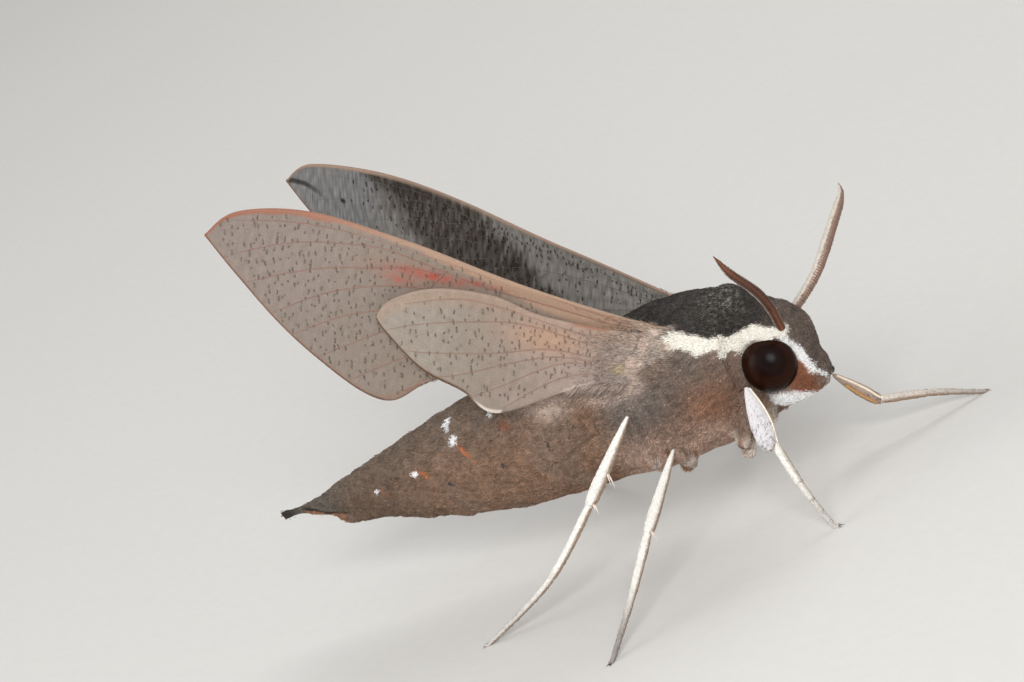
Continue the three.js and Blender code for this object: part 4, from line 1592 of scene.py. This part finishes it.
def leg_lines(pair, side):
    """The middle lines of a leg's tibia and tarsus."""
    joints = leg_joints(pair, side)
    knee, ankle, foot = joints["knee"], joints["ankle"], joints["foot"]
    down = (foot - ankle) * [1, 1, 0]
    tip = foot + [0, 0, SOLE_HEIGHT]
    heel = tip - unit(down) * SOLE_LENGTH + [0, 0, 0.06]
    middle = (ankle + foot) / 2 + joints["bend"]
    end = ankle + (mirrored(LEAF_TIP, SIDES[side]) if pair == "fore" else 0)
    return np.linspace(knee, end, 60), through([ankle, middle, heel, tip], 160)


def above_floor(made):
    made["points"][:, 2] = made["points"][:, 2].clip(0, None)
    return made


def cone(start, way, bend, length, half):
    """A curved spike: a spur or a claw."""
    t = np.linspace(0, 1, 10)[:, None]
    path = start + way * length * t + np.array(bend) * length * t ** 2
    half = half * (1 - 0.93 * t[:, 0])
    return tube(path, half, half, (1, 0.1, 0), sides=8)


def leg_spikes(pair, sign, tibia, tarsus):
    """The spurs of the tibia and the two claws of the foot."""
    spikes = []
    way = unit(tibia[-1] - tibia[0])
    for share, length in SPURS[pair]:
        start = tibia[0] + (tibia[-1] - tibia[0]) * share + np.array([0.12, 0, 0.05])
        for aside in (0.0, SPUR_SPREAD):
            aim = unit(way * 0.6 + [0.75, aside * sign, -0.25])
            spikes.append((cone(start, aim, way * 0.25, length - aside, 0.12), SPUR_PALE))
    toe = unit((tarsus[-1] - tarsus[-12]) * [1, 1, 0])
    aside = np.cross(toe, [0, 0, 1])
    for spread in (-1, 1):
        start = tarsus[-2] + aside * spread * 0.04
        spikes.append((cone(start, unit(toe + aside * spread * 0.7), toe * 0.4 - [0, 0, 0.35],
                            0.32, 0.05), CLAW_AMBER))
    return together([above_floor(dyed(spike, tint)) for spike, tint in spikes])


def leg_tubes(pair, side, tibia, tarsus):
    """The bare tibia, the tarsus, whose five joints widen to their ends, and the tibia's edge."""
    wide, deep = LEGS[pair]["tibia"]
    swell = np.interp(np.linspace(0, 1, len(tibia)), *(LEAF if pair == "fore" else SHIN))
    broad = np.array([0.88, -0.47 * SIDES[side], 0.07])
    shin = tube(tibia, (wide - 0.04) * swell, (deep - 0.04) * swell ** 0.7, broad, sides=20)
    share = np.linspace(0, 1, len(tarsus))
    joint = (np.searchsorted(TARSUS_JOINTS, share, side="right") - 1).clip(0, 4)
    local = (share - TARSUS_JOINTS[joint]) / np.diff(TARSUS_JOINTS)[joint]
    half = np.interp(share, *TARSUS_TAPER) * (0.93 + 0.12 * local - 0.15 * ease(0.93, 1.0, local))
    sole = tube(tarsus, half, half, (0, 0, 1), sides=14)
    return shin, sole, tibia + (wide * swell)[:, None] * broad


def leaf_trims(side, edge, tibia, tarsus):
    """The cream ridge down a fore tibia's edge, and the amber blade the left one shows."""
    ridge = through([edge[2], edge[20], edge[36], edge[50], tarsus[14]], 60)
    trims = [dyed(tube(ridge, 0.08, 0.08, (1, 0, 0), sides=8), RIDGE_CREAM)]
    if side == "left":
        blade = [tibia[k] + FAR_BLADE * far for k, far in ((15, 1), (36, 1.25), (55, 0.9))]
        trims.append(dyed(tube(through(blade, 40), 0.11, 0.05, (0, 0, 1), sides=8), BLADE_AMBER))
    return trims


def leg_coat(part, pair, side, tarsus, seed, random):
    """The flat scales of a tibia or tarsus, peppered with dark ones, and their OFBake map."""
    points, triangles, fields = (part[key] for key in ("points", "triangles", "fields"))
    roots, out, way, along = strewn(points, triangles, LEG_SCALES_PER_MM2, seed + tarsus,
                                    normals_of(points, triangles), fields["way"],
                                    fields["along"][:, None])
    along = along[:, 0]
    chance = random.random(len(along))
    leaf = pair == "fore" and not tarsus
    dust = (chance < 0.4) * (0.75 - 1.5 * chance) if leaf else (chance < 0.012) * 0.5
    tint = mix(leg_paint(pair, side, along, out, tarsus), LEG_PEPPER, dust)
    place = np.stack([0.01 + 0.47 * along + 0.5 * (side == "right"),
                      0.02 + 0.45 * tarsus + 0.42 * turned(out[:, 1], out[:, 2])], 1)
    kept = roots[:, 2] > SOLE_BARE
    roots, out, way, along, tint, place = (v[kept] for v in (roots, out, way, along, tint, place))
    length = (0.32 - 0.08 * tarsus) * random.uniform(0.8, 1.2, len(roots))
    length = length * (1 - 0.55 * ease(0.8, 0.95, along))
    made, patch = grow(roots, unit(out), unit(way), length, 0.07, 0.05, tint, place, seed + 5,
                       blades=2, splay=0.12, jitter=0.03)
    return above_floor(made), patch


def build_leg(pair, side, seed):
    """One tibia and tarsus as a piece; returns its scales, which join the pair's."""
    random = np.random.default_rng(seed)
    tibia, tarsus = leg_lines(pair, side)
    shin, sole, edge = leg_tubes(pair, side, tibia, tarsus)
    parts = leaf_trims(side, edge, tibia, tarsus) if pair == "fore" else []
    coats = []
    for on_tarsus, part in enumerate((shin, sole)):
        above_floor(part)
        coats.append(leg_coat(part, pair, side, on_tarsus, seed, random))
        out = normals_of(part["points"], part["triangles"])
        tint = leg_paint(pair, side, part["fields"]["along"], out, on_tarsus)
        part["fields"] = {"tint": tint * 0.85}
        parts.append(part)
    limb = together(parts)
    spikes = leg_spikes(pair, SIDES[side], tibia, tarsus)
    finish = np.r_[np.zeros(len(limb["triangles"])), np.ones(len(spikes["triangles"]))]
    add_piece(f"leg_{pair}_{side}", together([limb, spikes]), [UNDERCOAT, CHITIN],
              stands_for=[f"leg_{pair}_{side}_tibia", f"leg_{pair}_{side}_tarsus"], finish=finish)
    return coats


def build_legs():
    for k, pair in enumerate(LEGS):
        coats = build_leg(pair, "left", 500 + 20 * k) + build_leg(pair, "right", 510 + 20 * k)
        add_piece(f"leg_scales_{pair}", together([made for made, _ in coats]), [HAIR],
                  patch=np.concatenate([patch for _, patch in coats]))


build_legs()


# ---- floor and light ----

def build_studio():
    floor = bpy.data.meshes.new("floor")
    reach = 3.0
    corners = [(x * reach, y * reach, 0) for x, y in ((-1, -1), (1, -1), (1, 1), (-1, 1))]
    floor.from_pydata(corners, [], [(0, 1, 2, 3)])
    # Pressed card with a faint fibre grain, so the floor is matt and takes a soft shadow.
    card, tree, shader = new_finish("matt_card", Roughness=0.9, IOR=1.45)
    place = add_node(tree, "ShaderNodeTexCoord")
    grain = add_node(tree, "ShaderNodeTexNoise", {
        "Vector": place.outputs["Object"], "Scale": 900.0, "Detail": 2.0,
    })
    pale = add_node(tree, "ShaderNodeMix", {
        "Factor": grain.outputs["Fac"],
        "A": (*linear("d6d4d0"), 1),
        "B": (*linear("dcdad6"), 1),
    }, data_type="RGBA")
    tree.links.new(pale.outputs["Result"], shader.inputs["Base Color"])
    floor.materials.append(card)
    new_object("floor", floor)

    for name, spot, size, power in (
        ("key_light", (0.16, -0.37, 0.22), 0.22, 1.75),
        ("fill_light", (-0.34, -0.24, 0.20), 0.30, 0.65),
        ("rim_light", (0.10, 0.36, 0.30), 0.25, 0.65),
    ):
        lamp = bpy.data.lights.new(name, "AREA")
        lamp.energy = power
        lamp.shape = "DISK"
        lamp.size = size
        light = new_object(name, lamp)
        light.location = spot
        aim = Vector((0, 0, 0.012)) - Vector(spot)
        light.rotation_euler = aim.to_track_quat("-Z", "Y").to_euler()

    world = bpy.data.worlds.new("studio")
    world.use_nodes = True
    tree = world.node_tree
    tree.nodes.clear()
    rays = add_node(tree, "ShaderNodeLightPath")
    seen = add_node(tree, "ShaderNodeMath", {
        0: rays.outputs["Is Camera Ray"], 1: rays.outputs["Is Glossy Ray"],
    }, operation="MAXIMUM")
    seen = add_node(tree, "ShaderNodeMath", {
        0: seen.outputs["Value"], 1: rays.outputs["Is Transmission Ray"],
    }, operation="MAXIMUM")
    soft = add_node(tree, "ShaderNodeBackground", {"Color": (1, 1, 1, 1), "Strength": 0.4})
    white = add_node(tree, "ShaderNodeBackground", {"Color": (1, 1, 1, 1), "Strength": 1.0})
    both = add_node(tree, "ShaderNodeMixShader", {
        0: seen.outputs["Value"], 1: soft.outputs["Background"], 2: white.outputs["Background"],
    })
    add_node(tree, "ShaderNodeOutputWorld", {"Surface": both.outputs["Shader"]})
    bpy.context.scene.world = world
    bpy.context.scene.view_settings.view_transform = "Standard"


build_studio()
